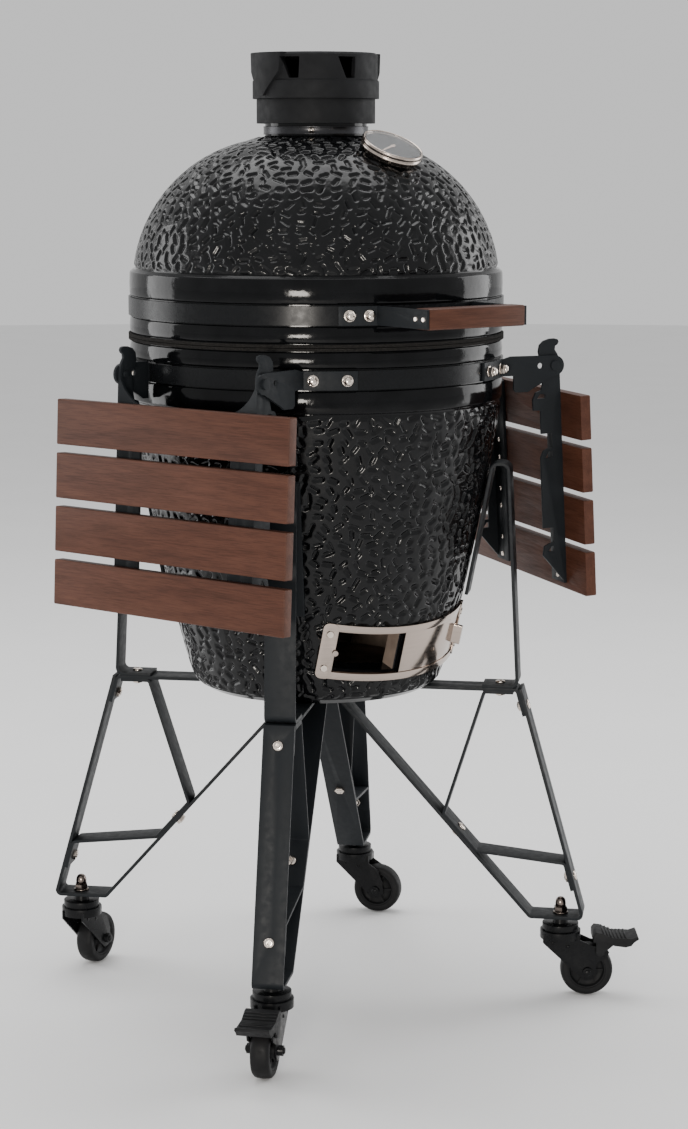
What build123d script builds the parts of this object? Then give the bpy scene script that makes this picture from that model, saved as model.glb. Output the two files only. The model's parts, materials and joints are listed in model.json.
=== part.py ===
from build123d import *
import os
from math import atan2, cos, degrees, radians, sin, sqrt

# Kamado ceramic grill on a four-legged caster cart with two folding side tables.
# Frame: origin on the floor under the ceramic's axis, +Z up, front towards -Y, right +X.
# An azimuth is measured from the front (-Y) towards the right (+X), in degrees.

# ---- driving dimensions, mm and degrees ----
FIT = 0.05  # radial running clearance of a shaft in its hole

CERAMIC_TURN = 7.5  # the ceramic sits turned this much in its bands
BASE_FLOOR_Z = 450.0
BASE_FOOT = (171.0, 457.0)  # radius and height where the foot meets the wall
WALL_LOW = (180.1, 482.0)  # the wall's lower cone, where the draft frame sits
WALL_HIGH = (201.7, 562.0)
WALL_MIDDLE = (231.0, 700.0)
SHOULDER = (257.0, 855.0)
RIM_R = 258.0
BASE_RIM_Z = 940.0
BASE_WALL = 24.0
GASKET_T, GASKET_GAP = 4.3, 0.4
DOME_RIM_Z = BASE_RIM_Z + 2 * GASKET_T + GASKET_GAP
DOME_STEP_Z = 1037.0
DOME_WALL = 22.0
DOME_CENTRE, DOME_ARC_R = (53.2, 1013.5), 200.0  # the curve between the rim and the neck
NECK_R, NECK_BORE_R, NECK_TOP_Z = 70.6, 52.0, 1246.0

BAND_R, BAND_T, BAND_H = 262.0, 3.95, 25.0
LOWER_BAND_Z, UPPER_BAND_Z = 890.0, 974.0
PLATE_T = 4.0  # sheet of the plates that lie over the bands
PLATE_R = BAND_R + 0.1
STUD_R = 4.0

CAP_R, CAP_RING_R, CAP_BASE_R = 85.2, 87.4, 82.0
CAP_LOW_Z, CAP_RING_Z, CAP_TOP_Z = 1268.4, 1293.0, 1330.0
SLEEVE_R = (76.5, 79.5)  # the vent base's inner sleeve, behind the cap's windows
WINDOW_AZIMUTHS = (-57.0, -3.0, 141.0, 195.0)
LUG_AZIMUTHS, LUG_R = (-90.0, 90.0), 91.5

GAUGE_ELEVATION, GAUGE_R = 62.7, 42.5

HANDLE_FRONT_Y, HANDLE_HALF = -360.0, 78.0
HANDLE_LOW_Z, HANDLE_SECTION = 973.0, (29.0, 27.0)

HINGE_Y, HINGE_Z, HINGE_PIN_R = 318.0, 944.5, 5.0
LOWER_EAR_X, UPPER_EAR_X = 62.0, 52.0
SPRING_BAR = (352.0, 925.0, 8.0)  # y, z and radius, the rearmost part

FRAME_HALF, WINDOW_HALF = 40.5, 34.6  # angles about the draft frame's own tilted axis
DOOR_SPAN, SCREEN_SPAN, TRACK_HALF = (-6.0, 35.0), (-5.5, 35.0), 35.5
OPENING_SPAN, OPENING_HALF = (-34.0, -8.0), 27.0

STRAP_W, STRAP_T, BRACE_T = 42.0, 4.5, 4.0
LEG_TOP_RHO, LEG_FOOT_RHO, FOOT_LOW_Z = 296.0, 390.0, 115.5
CASTER_RHO = 354.0
LEGS = {"fl": -45.0, "fr": 45.0, "br": 135.0, "bl": -135.0}

SPLAY, LEAN = 16.4, 3.0  # table normals turned to the front, and hanging tables' outward lean
PIVOT_N, PIVOT_Z, PIVOT_PIN_R = 298.0, 904.0, 4.0
TABLE_CENTRE = -11.4
FRONT_WEB, REAR_WEB = -136.0, 105.0
SLAT_L, SLAT_W, SLAT_T, SLAT_PITCH = 404.0, 61.5, 15.0, 72.8
SLAT_TOP_H, SLAT_BACK_S = -38.0, 9.0
FLANGE_W, BRACKET_LOW_H = 42.0, -309.0
SCREW_STEP = 13.0

WHEEL_R, TYRE_W, HUB_R, TRAIL, AXLE_R = 37.5, 26.0, 27.0, 38.0, 4.0
FORK_GAP, FORK_T, RACE_R, RACE_Z = 15.5, 2.5, 29.0, 84.0
TRAILS = {"fl": -48.0, "fr": 54.0, "br": 40.0, "bl": 118.0}  # azimuth that each wheel trails at
BRAKED = ("fl", "fr")
PEDAL_PIVOT = (56.0, 67.0)

UP = Vector(0, 0, 1)

os.makedirs("parts", exist_ok=True)


def save(builder, name):
    """Label a finished piece and write it as a node."""
    builder.part.label = name
    export_step(builder.part, f"parts/{name}.step")


def out(azimuth):
    """Horizontal unit vector at an azimuth."""
    return Vector(sin(radians(azimuth)), -cos(radians(azimuth)), 0)


def upright(azimuth, foot=Vector(0, 0, 0)):
    """Upright plane through a foot point: local x outwards at an azimuth, local y up."""
    return Plane(origin=foot, x_dir=out(azimuth), z_dir=out(azimuth).cross(UP))


def facing(azimuth, radius, z):
    """Upright plane that faces outwards at an azimuth: local y up."""
    return Plane(origin=out(azimuth) * radius + UP * z, x_dir=UP.cross(out(azimuth)), z_dir=out(azimuth))


def ring(inner, outer, low, high):
    """Plain ring about the axis."""
    with BuildSketch(Plane.XY.offset(low)) as profile:
        Circle(outer)
        Circle(inner, mode=Mode.SUBTRACT)
    extrude(profile.sketch, amount=high - low)


def spun(*points):
    """Body of revolution about the axis from a straight-sided section of radius and height."""
    with BuildSketch(Plane.XZ) as profile:
        with BuildLine():
            Polyline(*points, close=True)
        make_face()
    revolve(profile.sketch, axis=Axis.Z)


def disc(plane, radius, depth, mode=Mode.ADD):
    """Round disc, pin or hole that stands on a plane."""
    with BuildSketch(plane) as profile:
        Circle(radius)
    extrude(profile.sketch, amount=depth, mode=mode)


def drill(planes, radius, depth):
    """Holes from each plane back along its normal."""
    for plane in planes:
        disc(plane, radius, -depth, mode=Mode.SUBTRACT)


def sheet(plane, points, thickness, mode=Mode.ADD):
    """Flat plate from its outline on a plane."""
    with BuildSketch(plane) as profile:
        with BuildLine():
            Polyline(*points, close=True)
        make_face()
    extrude(profile.sketch, amount=thickness, mode=mode)


def band_plate(azimuth_from, azimuth_to, low, high):
    """Curved sheet that lies on a band between two azimuths."""
    with BuildSketch(upright(azimuth_from)) as profile:
        with Locations((PLATE_R + PLATE_T / 2, (low + high) / 2)):
            Rectangle(PLATE_T, high - low)
    revolve(profile.sketch, axis=Axis.Z, revolution_arc=azimuth_to - azimuth_from)


def strap(plane, face, bend, thickness=STRAP_T):
    """Flat bar bent along the line of one face; its metal lies to the left of that line."""
    corners = [Vector(*point) for point in face]
    steps = [(end - start).normalized() for start, end in zip(corners, corners[1:])]
    sides = [Vector(-step.Y, step.X) for step in steps]
    back = [corners[0] + sides[0] * thickness]
    face_bends, back_bends = [], []
    for i, corner in enumerate(corners[1:-1]):
        mitre = (sides[i] + sides[i + 1]) * (thickness / (1 + sides[i].dot(sides[i + 1])))
        back.append(corner + mitre)
        left_turn = steps[i].cross(steps[i + 1]).Z > 0
        face_bends.append(bend + thickness if left_turn else bend)
        back_bends.append(bend if left_turn else bend + thickness)
    back.append(corners[-1] + sides[-1] * thickness)
    with BuildSketch(plane) as profile:
        with BuildLine():
            FilletPolyline(*corners, radius=face_bends)
            Line(corners[-1], back[-1])
            FilletPolyline(*reversed(back), radius=back_bends[::-1])
            Line(back[0], corners[0])
        make_face()
    extrude(profile.sketch, amount=STRAP_W / 2, both=True)


def acorn_nut(plane, stud):
    """Washer, hexagon and domed cap on a plane, with the stud behind it."""
    disc(plane, 7.5, 1.8)
    with BuildSketch(plane.offset(1.8)) as profile:
        RegularPolygon(6.2, 6, major_radius=False)
    extrude(profile.sketch, amount=5.5)
    with BuildSketch(plane.offset(7.3)) as profile:
        Circle(5.4)
    extrude(profile.sketch, amount=4.5, taper=14)
    disc(plane, STUD_R, -stud)


def through_bolt(plane, grip):
    """Low domed head on a plane, shank, and nut on the far side of the grip."""
    with BuildSketch(plane) as profile:
        Circle(7)
    extrude(profile.sketch, amount=3, taper=28)
    disc(plane, STUD_R - 0.1, -grip - 5)
    with BuildSketch(plane.offset(-grip)) as profile:
        RegularPolygon(6.5, 6, major_radius=False)
    extrude(profile.sketch, amount=-5)


# ---- ceramic base and what stands in it ----
CONE_RUN = (WALL_HIGH[0] - WALL_LOW[0], WALL_HIGH[1] - WALL_LOW[1])
CONE_TILT = atan2(*CONE_RUN)
CONE_RHO = (WALL_HIGH[0] + WALL_LOW[0]) / 2
CONE_Z = (WALL_HIGH[1] + WALL_LOW[1]) / 2
DRAFT_R = CONE_RHO / cos(CONE_TILT) + 1.5
FRONT = out(CERAMIC_TURN)
DRAFT_OUT = FRONT * cos(CONE_TILT) - UP * sin(CONE_TILT)
DRAFT_UP = FRONT * sin(CONE_TILT) + UP * cos(CONE_TILT)
DRAFT_SIDE = DRAFT_UP.cross(DRAFT_OUT)
DRAFT_CENTRE = FRONT * CONE_RHO + UP * CONE_Z - DRAFT_OUT * DRAFT_R
DRAFT_AXIS = Axis(DRAFT_CENTRE, DRAFT_UP)


def draft_x(angle):
    """Unit vector outwards from the draft frame's axis at an angle, positive to the right."""
    return DRAFT_OUT * cos(radians(angle)) + DRAFT_SIDE * sin(radians(angle))


def draft_strip(span, depth, height, centre=0.0, mode=Mode.ADD):
    """Curved strip about the draft frame's axis, with a span of angles and a depth range."""
    x = draft_x(span[0])
    with BuildSketch(Plane(origin=DRAFT_CENTRE, x_dir=x, z_dir=x.cross(DRAFT_UP))) as profile:
        with Locations((DRAFT_R + sum(depth) / 2, centre)):
            Rectangle(depth[1] - depth[0], height)
    revolve(profile.sketch, axis=DRAFT_AXIS, revolution_arc=span[1] - span[0], mode=mode)


def draft_face(angle, depth, height):
    """Plane that faces outwards on the draft frame: local y along its axis."""
    x = draft_x(angle)
    origin = DRAFT_CENTRE + x * (DRAFT_R + depth) + DRAFT_UP * height
    return Plane(origin=origin, x_dir=DRAFT_UP.cross(x), z_dir=x)


FRAME_IN, FRAME_OUT, FRAME_HALF_H, WINDOW_HALF_H = 1.0, 7.0, 40.0, 30.0
SCREEN_TRACK, DOOR_TRACK, TRACK_HALF_H = (1.8, 3.6), (4.2, 6.2), 33.5
END_ANGLE = (FRAME_HALF + WINDOW_HALF) / 2
DRAFT_SCREWS = [draft_face(side * END_ANGLE, FRAME_OUT, height) for side in (-1, 1) for height in (-25, 25)]


def inwards(point):
    """Wall point moved to the inner face."""
    return (point[0] - BASE_WALL, point[1])


with BuildPart() as base_shell:
    with BuildSketch(Plane.XZ):
        with BuildLine():
            Polyline((0, BASE_FLOOR_Z), (160, BASE_FLOOR_Z), BASE_FOOT, WALL_LOW, WALL_HIGH)
            ThreePointArc(WALL_HIGH, WALL_MIDDLE, SHOULDER)
            Polyline(SHOULDER, (RIM_R, SHOULDER[1] + 2), (RIM_R, BASE_RIM_Z), (RIM_R - BASE_WALL, BASE_RIM_Z),
                     inwards(SHOULDER))
            ThreePointArc(inwards(SHOULDER), inwards(WALL_MIDDLE), inwards(WALL_HIGH))
            Polyline(inwards(WALL_HIGH), inwards(WALL_LOW), (150, 480), (0, 480), (0, BASE_FLOOR_Z))
        make_face()
    revolve(axis=Axis.Z)
    draft_strip(OPENING_SPAN, (-60, 10), 2 * OPENING_HALF, mode=Mode.SUBTRACT)
    seat_span = (-FRAME_HALF - 0.5, FRAME_HALF + 0.5)
    draft_strip(seat_span, (FRAME_IN, 20), 2 * FRAME_HALF_H + 2, mode=Mode.SUBTRACT)
    drill(DRAFT_SCREWS, 3.1, 22)
save(base_shell, "base_shell")

FIREBOX_FLOOR_Z, FIREBOX_TOP_Z, FIRE_RING_TOP_Z = 588.0, 770.0, 912.0
DRAFT_AZIMUTH = CERAMIC_TURN + sum(OPENING_SPAN) / 2
with BuildPart() as firebox:
    spun((126, 480), (144, 480), (174, FIREBOX_FLOOR_Z), (197, FIREBOX_TOP_Z), (177, FIREBOX_TOP_Z),
         (156, 602), (120, 602), (120, 584), (148, 584))
    with BuildSketch(facing(DRAFT_AZIMUTH, 60, 515)):
        Rectangle(130, 75)
    extrude(amount=140, mode=Mode.SUBTRACT)
    with Locations((0, 0, FIREBOX_FLOOR_Z)):
        for turn in (DRAFT_AZIMUTH - 45, DRAFT_AZIMUTH + 45):
            Box(400, 1, 400, rotation=(0, 0, turn), mode=Mode.SUBTRACT)  # joint between segments
save(firebox, "firebox")

with BuildPart() as fire_ring:
    spun((179, FIREBOX_TOP_Z), (196, FIREBOX_TOP_Z), (226, FIRE_RING_TOP_Z), (204, FIRE_RING_TOP_Z))
save(fire_ring, "fire_ring")

with BuildPart() as charcoal_grate:
    with BuildSketch(Plane.XY.offset(602)):
        Circle(138)
        with GridLocations(25, 25, 7, 7):
            SlotOverall(19, 11, mode=Mode.SUBTRACT)
    extrude(amount=10)
save(charcoal_grate, "charcoal_grate")

GRATE_R, ROD_R = 218.0, 4.0
with BuildPart() as cooking_grate:
    ring(GRATE_R - ROD_R, GRATE_R + ROD_R, FIRE_RING_TOP_Z, FIRE_RING_TOP_Z + 2 * ROD_R)
    with Locations((0, 0, FIRE_RING_TOP_Z + ROD_R)):
        Box(2 * GRATE_R, 2 * ROD_R, 2 * ROD_R)
    for row in range(-9, 10):
        chord = 2 * sqrt(GRATE_R**2 - (22 * row) ** 2)
        with Locations((22 * row, 0, FIRE_RING_TOP_Z + 2 * ROD_R - 2)):
            Box(5, chord, 5)
save(cooking_grate, "cooking_grate")

with BuildPart() as gasket_lower:
    ring(RIM_R - 20, BAND_R + 0.5, BASE_RIM_Z, BASE_RIM_Z + GASKET_T)
save(gasket_lower, "gasket_lower")


# ---- dome and its fittings ----
def dome_point(elevation, depth=0.0):
    """Point of the dome's curve where its normal has an elevation, sunk by a depth."""
    reach, angle = DOME_ARC_R - depth, radians(elevation)
    return (DOME_CENTRE[0] + reach * cos(angle), DOME_CENTRE[1] + reach * sin(angle))


gauge_rho, gauge_z = dome_point(GAUGE_ELEVATION)
GAUGE_OUT = FRONT * cos(radians(GAUGE_ELEVATION)) + UP * sin(radians(GAUGE_ELEVATION))
GAUGE_FOOT = FRONT * gauge_rho + UP * gauge_z
GAUGE_PLANE = Plane(origin=GAUGE_FOOT, x_dir=UP.cross(FRONT), z_dir=GAUGE_OUT)
GAUGE_BOSS_R = 8.0

FOOT_ELEVATION, CROWN_ELEVATION, BORE_ELEVATION = 6.8, 78.0, 90.0
NECK_ROOT_Z, DOME_JOINT_Z = 1216.5, 1150.0  # the casting is drawn as three solids that meet at these heights
with BuildPart() as dome:
    with BuildSketch(Plane.XZ):
        with BuildLine():
            foot, crown = dome_point(FOOT_ELEVATION), dome_point(CROWN_ELEVATION)
            inner_foot = dome_point(FOOT_ELEVATION, DOME_WALL)
            inner_crown = dome_point(BORE_ELEVATION, DOME_WALL)
            Polyline((RIM_R - DOME_WALL, DOME_RIM_Z), (RIM_R, DOME_RIM_Z), (RIM_R, DOME_STEP_Z - 3),
                     (RIM_R - 3, DOME_STEP_Z), foot)
            ThreePointArc(foot, dome_point(45), crown)
            Polyline(crown, (NECK_R + 3.4, NECK_ROOT_Z), (NECK_R, NECK_ROOT_Z + 2), (NECK_R, NECK_TOP_Z),
                     (NECK_BORE_R, NECK_TOP_Z), (NECK_BORE_R, inner_crown[1]), inner_crown)
            ThreePointArc(inner_crown, dome_point(45, DOME_WALL), inner_foot)
            Line(inner_foot, (RIM_R - DOME_WALL, DOME_RIM_Z))
        make_face()
    revolve(axis=Axis.Z)
    drill([GAUGE_PLANE.offset(20)], GAUGE_BOSS_R, 70)
    for height in (DOME_JOINT_Z, NECK_ROOT_Z):
        split(bisect_by=Plane.XY.offset(height), keep=Keep.BOTH)
save(dome, "dome")

with BuildPart() as gasket_upper:
    ring(RIM_R - 20, BAND_R + 0.5, DOME_RIM_Z - GASKET_T, DOME_RIM_Z)
save(gasket_upper, "gasket_upper")

with BuildPart() as chimney_clamp:
    ring(NECK_R, NECK_R + 1.8, 1220, 1231)
    with BuildSketch(facing(-40, NECK_R + 1, 1225.5)):
        Rectangle(13, 7)
    extrude(amount=4)
save(chimney_clamp, "chimney_clamp")

WINDOW_TOP_Z, WINDOW_LOW_Z = 1323.5, 1295.0
VENT_PIN_R = 4.0


def cut_windows(radius_from, radius_to):
    """Windows that slant on their left and stand upright on their right."""
    depth = WINDOW_TOP_Z - WINDOW_LOW_Z
    for azimuth in WINDOW_AZIMUTHS:
        outline = [(-17, 0), (10, 0), (8.5, -depth), (-5, -depth)]
        sheet(facing(azimuth, radius_from, WINDOW_TOP_Z), outline, radius_to - radius_from, Mode.SUBTRACT)


with BuildPart() as vent_base:
    spun((NECK_R, 1235), (CAP_BASE_R, 1235), (CAP_BASE_R, 1268), (SLEEVE_R[1], 1268), (SLEEVE_R[1], 1322),
         (SLEEVE_R[0], 1322), (SLEEVE_R[0], 1262), (56, 1262), (56, NECK_TOP_Z), (NECK_R, NECK_TOP_Z))
    cut_windows(60, 84)
    with Locations((0, 0, 1260)):
        Box(118, 12, 4)
        Cylinder(radius=9, height=4)
    disc(Plane.XY.offset(1262), VENT_PIN_R, 60)
save(vent_base, "vent_base")

with BuildPart() as grip_lugs:
    for azimuth in LUG_AZIMUTHS:
        outline = [(-36, 0), (36, 0), (33, -26), (4, -58), (-4, -58), (-33, -26)]
        sheet(facing(azimuth, 60, CAP_TOP_Z), outline, 50)
    with Locations((0, 0, CAP_TOP_Z - 30)):
        Cylinder(radius=LUG_R, height=60, mode=Mode.INTERSECT)
    top_edges = grip_lugs.edges().filter_by_position(Axis.Z, CAP_TOP_Z - 0.1, CAP_TOP_Z + 0.1)
    fillet(top_edges.group_by(SortBy.LENGTH)[-1], radius=1.5)

with BuildPart() as vent_cap:
    spun((SLEEVE_R[1] + 0.4, CAP_LOW_Z), (CAP_RING_R, CAP_LOW_Z), (CAP_RING_R, CAP_RING_Z - 1),
         (CAP_R, CAP_RING_Z + 1), (CAP_R, CAP_TOP_Z - 3), (CAP_R - 3, CAP_TOP_Z), (0, CAP_TOP_Z),
         (0, CAP_TOP_Z - 6), (SLEEVE_R[1] + 0.4, CAP_TOP_Z - 6))
    add(grip_lugs.part)
    with BuildSketch(Plane.XY.offset(CAP_LOW_Z)):
        Circle(SLEEVE_R[1] + 0.4)
    extrude(amount=CAP_TOP_Z - 6 - CAP_LOW_Z, mode=Mode.SUBTRACT)
    disc(Plane.XY.offset(CAP_TOP_Z - 6), 9, -10)
    disc(Plane.XY.offset(CAP_TOP_Z - 6), VENT_PIN_R + FIT, -12, Mode.SUBTRACT)
    cut_windows(60, 95)
save(vent_cap, "vent_cap")

# ---- thermometer ----
BEZEL_DEPTH, DIAL_DEPTH, NEEDLE_DEPTH, GLASS_DEPTH, CASE_DEPTH = 6.0, 12.0, 13.3, 15.6, 17.6
NEEDLE_PIN_R, NEEDLE_REST = 1.5, 203.0
with BuildPart() as thermometer_case:
    disc(GAUGE_PLANE.offset(1), GAUGE_R - 4, BEZEL_DEPTH)
    disc(GAUGE_PLANE.offset(BEZEL_DEPTH), GAUGE_R, CASE_DEPTH - BEZEL_DEPTH)
    disc(GAUGE_PLANE.offset(DIAL_DEPTH), GAUGE_R - 3.5, 8, Mode.SUBTRACT)
    disc(GAUGE_PLANE.offset(DIAL_DEPTH), NEEDLE_PIN_R + FIT, -4, Mode.SUBTRACT)
    disc(GAUGE_PLANE.offset(1), GAUGE_BOSS_R, -28)
    disc(GAUGE_PLANE.offset(-DOME_WALL - 0.7), 13, -5)
    disc(GAUGE_PLANE.offset(-27), 3, -40)
save(thermometer_case, "thermometer_case")

with BuildPart() as thermometer_dial:
    with BuildSketch(GAUGE_PLANE.offset(DIAL_DEPTH)):
        Circle(GAUGE_R - 3.5)
        Circle(NEEDLE_PIN_R + FIT, mode=Mode.SUBTRACT)
    extrude(amount=0.8)
save(thermometer_dial, "thermometer_dial")

with BuildPart() as thermometer_needle:
    with BuildSketch(GAUGE_PLANE.offset(NEEDLE_DEPTH)):
        Circle(3)
        with Locations(Rotation(0, 0, NEEDLE_REST)):
            Polygon((-7, -1.7), (31, -1), (31, 1), (-7, 1.7), align=None)
    extrude(amount=0.8)
    disc(GAUGE_PLANE.offset(NEEDLE_DEPTH), NEEDLE_PIN_R, -4.5)
save(thermometer_needle, "thermometer_needle")

with BuildPart() as thermometer_glass:
    disc(GAUGE_PLANE.offset(GLASS_DEPTH), GAUGE_R - 3.5, 1.4)
save(thermometer_glass, "thermometer_glass")

# ---- bands, lid handle and band bolts ----
FRONT_ARM_AZ, REAR_ARM_AZ = (23.5, 39.2), (94.6, 110.0)
UPPER_BOLT_Z, LOWER_BOLT_Z = 986.5, 902.5
UPPER_BOLTS = [facing(az, PLATE_R + PLATE_T, UPPER_BOLT_Z) for az in (-25.9, -20.2, 20.2, 25.9, 172, 188)]
LOWER_BOLTS = [facing(az, PLATE_R + PLATE_T, LOWER_BOLT_Z)
               for az in (-26.5, -36.2, 26.5, 36.2, -99.5, -106.5, 99.5, 106.5, 172, 188)]
STUD = PLATE_R + PLATE_T - BAND_R + BAND_T - 0.5

with BuildPart() as lower_band:
    ring(BAND_R - BAND_T, BAND_R, LOWER_BAND_Z, LOWER_BAND_Z + BAND_H)
    drill(LOWER_BOLTS, STUD_R + 0.1, 20)
save(lower_band, "lower_band")

with BuildPart() as upper_band:
    ring(BAND_R - BAND_T, BAND_R, UPPER_BAND_Z, UPPER_BAND_Z + BAND_H)
    drill(UPPER_BOLTS, STUD_R + 0.1, 20)
save(upper_band, "upper_band")

with BuildPart() as upper_band_bolts:
    for plane in UPPER_BOLTS:
        acorn_nut(plane, STUD)
save(upper_band_bolts, "upper_band_bolts")

with BuildPart() as handle_bar:
    with Locations((0, HANDLE_FRONT_Y + HANDLE_SECTION[0] / 2, HANDLE_LOW_Z + HANDLE_SECTION[1] / 2)):
        Box(2 * HANDLE_HALF, *HANDLE_SECTION)
    fillet(handle_bar.edges().filter_by(Axis.X), radius=3)
save(handle_bar, "handle_bar")

HANDLE_SCREWS = [Plane(origin=(side * (HANDLE_HALF + PLATE_T), HANDLE_FRONT_Y + along, UPPER_BOLT_Z),
                       x_dir=(0, 1, 0), z_dir=(side, 0, 0)) for side in (-1, 1) for along in (8, 24)]
ARM_TIP_Y, ARM_ROOT_Y = HANDLE_FRONT_Y + 1, -sqrt((PLATE_R + 1) ** 2 - HANDLE_HALF**2)
with BuildPart() as handle_arms:
    for side in (-1, 1):
        with Locations((side * (HANDLE_HALF + PLATE_T / 2), (ARM_TIP_Y + ARM_ROOT_Y) / 2, UPPER_BOLT_Z)):
            Box(PLATE_T, ARM_ROOT_Y - ARM_TIP_Y, BAND_H)
    band_plate(17.1, 29.0, UPPER_BAND_Z, UPPER_BAND_Z + BAND_H)
    band_plate(-29.0, -17.1, UPPER_BAND_Z, UPPER_BAND_Z + BAND_H)
    drill(UPPER_BOLTS[:4], STUD_R + 0.1, 20)
    drill(HANDLE_SCREWS, 2.1, 10)
save(handle_arms, "handle_arms")

with BuildPart() as handle_screws:
    for plane in HANDLE_SCREWS:
        with BuildSketch(plane):
            Circle(3.2)
        extrude(amount=1.6, taper=20)
        disc(plane, 2, -PLATE_T)
save(handle_screws, "handle_screws")

# ---- rear hinge ----
def ear(x, outline, end_radius, hole_radius, spring_bar=False):
    """Upright plate across a hinge plate, drilled for the hinge pin."""
    plane = Plane(origin=(x, 0, 0), x_dir=(0, 1, 0), z_dir=(1, 0, 0))
    with BuildSketch(plane) as profile:
        with BuildLine():
            Polyline(*outline, close=True)
        make_face()
        with Locations((HINGE_Y, HINGE_Z)):
            Circle(end_radius)
        if spring_bar:
            with Locations(SPRING_BAR[:2]):
                Circle(SPRING_BAR[2])
        with Locations((HINGE_Y, HINGE_Z)):
            Circle(hole_radius, mode=Mode.SUBTRACT)
    extrude(profile.sketch, amount=PLATE_T)


LOWER_EAR = [(256, 890), (256, 914), (310, 956), (326, 956), (357, 931), (354, 917.5), (320, 905), (290, 890)]
UPPER_EAR = [(257.5, 974), (257.5, 998), (272, 998), (330, 949), (312, 933.5), (290, 950)]
with BuildPart() as hinge_lower:
    band_plate(162, 198, LOWER_BAND_Z, LOWER_BAND_Z + BAND_H)
    for x in (-LOWER_EAR_X - PLATE_T, LOWER_EAR_X):
        ear(x, LOWER_EAR, 14, HINGE_PIN_R, spring_bar=True)
    with Locations((0, *SPRING_BAR[:2])):
        Cylinder(radius=5, height=2 * LOWER_EAR_X, rotation=(0, 90, 0))
    drill(LOWER_BOLTS[8:], STUD_R + 0.1, 20)
save(hinge_lower, "hinge_lower")

with BuildPart() as hinge_upper:
    band_plate(164, 196, UPPER_BAND_Z, UPPER_BAND_Z + BAND_H)
    for x in (-UPPER_EAR_X - PLATE_T, UPPER_EAR_X):
        ear(x, UPPER_EAR, 13, HINGE_PIN_R + FIT)
    drill(UPPER_BOLTS[4:], STUD_R + 0.1, 20)
save(hinge_upper, "hinge_upper")

PIN_HALF = LOWER_EAR_X + PLATE_T
with BuildPart() as hinge_pin:
    with Locations((0, HINGE_Y, HINGE_Z)):
        Cylinder(radius=HINGE_PIN_R, height=2 * PIN_HALF, rotation=(0, 90, 0))
        with Locations((PIN_HALF + 2, 0, 0), (-PIN_HALF - 2, 0, 0)):
            Cylinder(radius=8, height=4, rotation=(0, 90, 0))
save(hinge_pin, "hinge_pin")

with BuildPart() as hinge_springs:
    for side in (-1, 1):
        with BuildSketch(Plane(origin=(side * 6, HINGE_Y, HINGE_Z), x_dir=(0, 1, 0), z_dir=(side, 0, 0))):
            Circle(10.5)
            Circle(HINGE_PIN_R, mode=Mode.SUBTRACT)
        extrude(amount=40)
save(hinge_springs, "hinge_springs")

# ---- draft frame, door and ember screen ----
END_RISE = 1.2  # the rounded end plates stand this far over the rails
END_W = 2 * (DRAFT_R + FRAME_OUT) * radians(FRAME_HALF - END_ANGLE)
with BuildPart() as draft_frame:
    draft_strip((-END_ANGLE, END_ANGLE), (FRAME_IN, FRAME_OUT), 2 * FRAME_HALF_H)
    for angle in (-END_ANGLE, END_ANGLE):
        with BuildSketch(draft_face(angle, FRAME_IN, 0)):
            RectangleRounded(END_W, 2 * FRAME_HALF_H + 1, 8)
        extrude(amount=FRAME_OUT + END_RISE - FRAME_IN)
    draft_strip((-WINDOW_HALF, WINDOW_HALF), (0, 10), 2 * WINDOW_HALF_H, mode=Mode.SUBTRACT)
    for track in (SCREEN_TRACK, DOOR_TRACK):
        draft_strip((-TRACK_HALF, TRACK_HALF), track, 2 * TRACK_HALF_H, mode=Mode.SUBTRACT)
    disc(draft_face(-WINDOW_HALF, FRAME_OUT, 0), 4, 6)
    drill([plane.offset(2) for plane in DRAFT_SCREWS], 3.1, 12)
save(draft_frame, "draft_frame")

with BuildPart() as draft_screws:
    for plane in DRAFT_SCREWS:
        with BuildSketch(plane.offset(END_RISE)):
            Circle(5.4)
        extrude(amount=1.6, taper=30)
        disc(plane.offset(END_RISE), 3, -20)
save(draft_screws, "draft_screws")

HANDLE_TAB_ANGLE = 30.5
with BuildPart() as draft_door:
    draft_strip(DOOR_SPAN, (DOOR_TRACK[0] + 0.3, DOOR_TRACK[1] - 0.3), 2 * TRACK_HALF_H - 0.8)
    with BuildSketch(draft_face(HANDLE_TAB_ANGLE, DOOR_TRACK[1] - 0.8, 0)):
        RectangleRounded(6, 28, 1.5)
    extrude(amount=13)
save(draft_door, "draft_door")

HOLE_PITCH = 8.0
with BuildPart() as ember_screen:
    draft_strip(SCREEN_SPAN, (SCREEN_TRACK[0] + 0.3, SCREEN_TRACK[1] - 0.3), 2 * TRACK_HALF_H - 0.8)
    step_angle = degrees(HOLE_PITCH / DRAFT_R)
    columns = int((SCREEN_SPAN[1] - SCREEN_SPAN[0]) / step_angle) - 1
    for column in range(columns):
        angle = SCREEN_SPAN[0] + (column + 1.2) * step_angle
        with BuildSketch(draft_face(angle, 8, 0)):
            with GridLocations(1, HOLE_PITCH, 1, 6):
                Circle(2.2)
        extrude(amount=-10, mode=Mode.SUBTRACT)
save(ember_screen, "ember_screen")

# ---- legs, braces and the cradle under the base ----
LEG_TOP_Z = BASE_FLOOR_Z
LEG_SLOPE = (LEG_FOOT_RHO - LEG_TOP_RHO) / (LEG_TOP_Z - FOOT_LOW_Z)
LEG_COS = 1 / sqrt(1 + LEG_SLOPE**2)
DIAGONAL_RISE, DIAGONAL_FOOT_RHO, DIAGONAL_TOP_RHO = 1.12, 310.5, 24.2
DIAGONAL_COS = 1 / sqrt(1 + DIAGONAL_RISE**2)
CRADLE_LOW_Z = BASE_FLOOR_Z - STRAP_T
TAB_LOW_Z, BRACE_TAB = 410.0, (196.0, 158.0)


def leg_rho(z, depth=0.0):
    """Radius of the leg's outer face at a height, sunk square to it by a depth."""
    return LEG_TOP_RHO + (LEG_TOP_Z - z) * LEG_SLOPE - depth / LEG_COS


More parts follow.
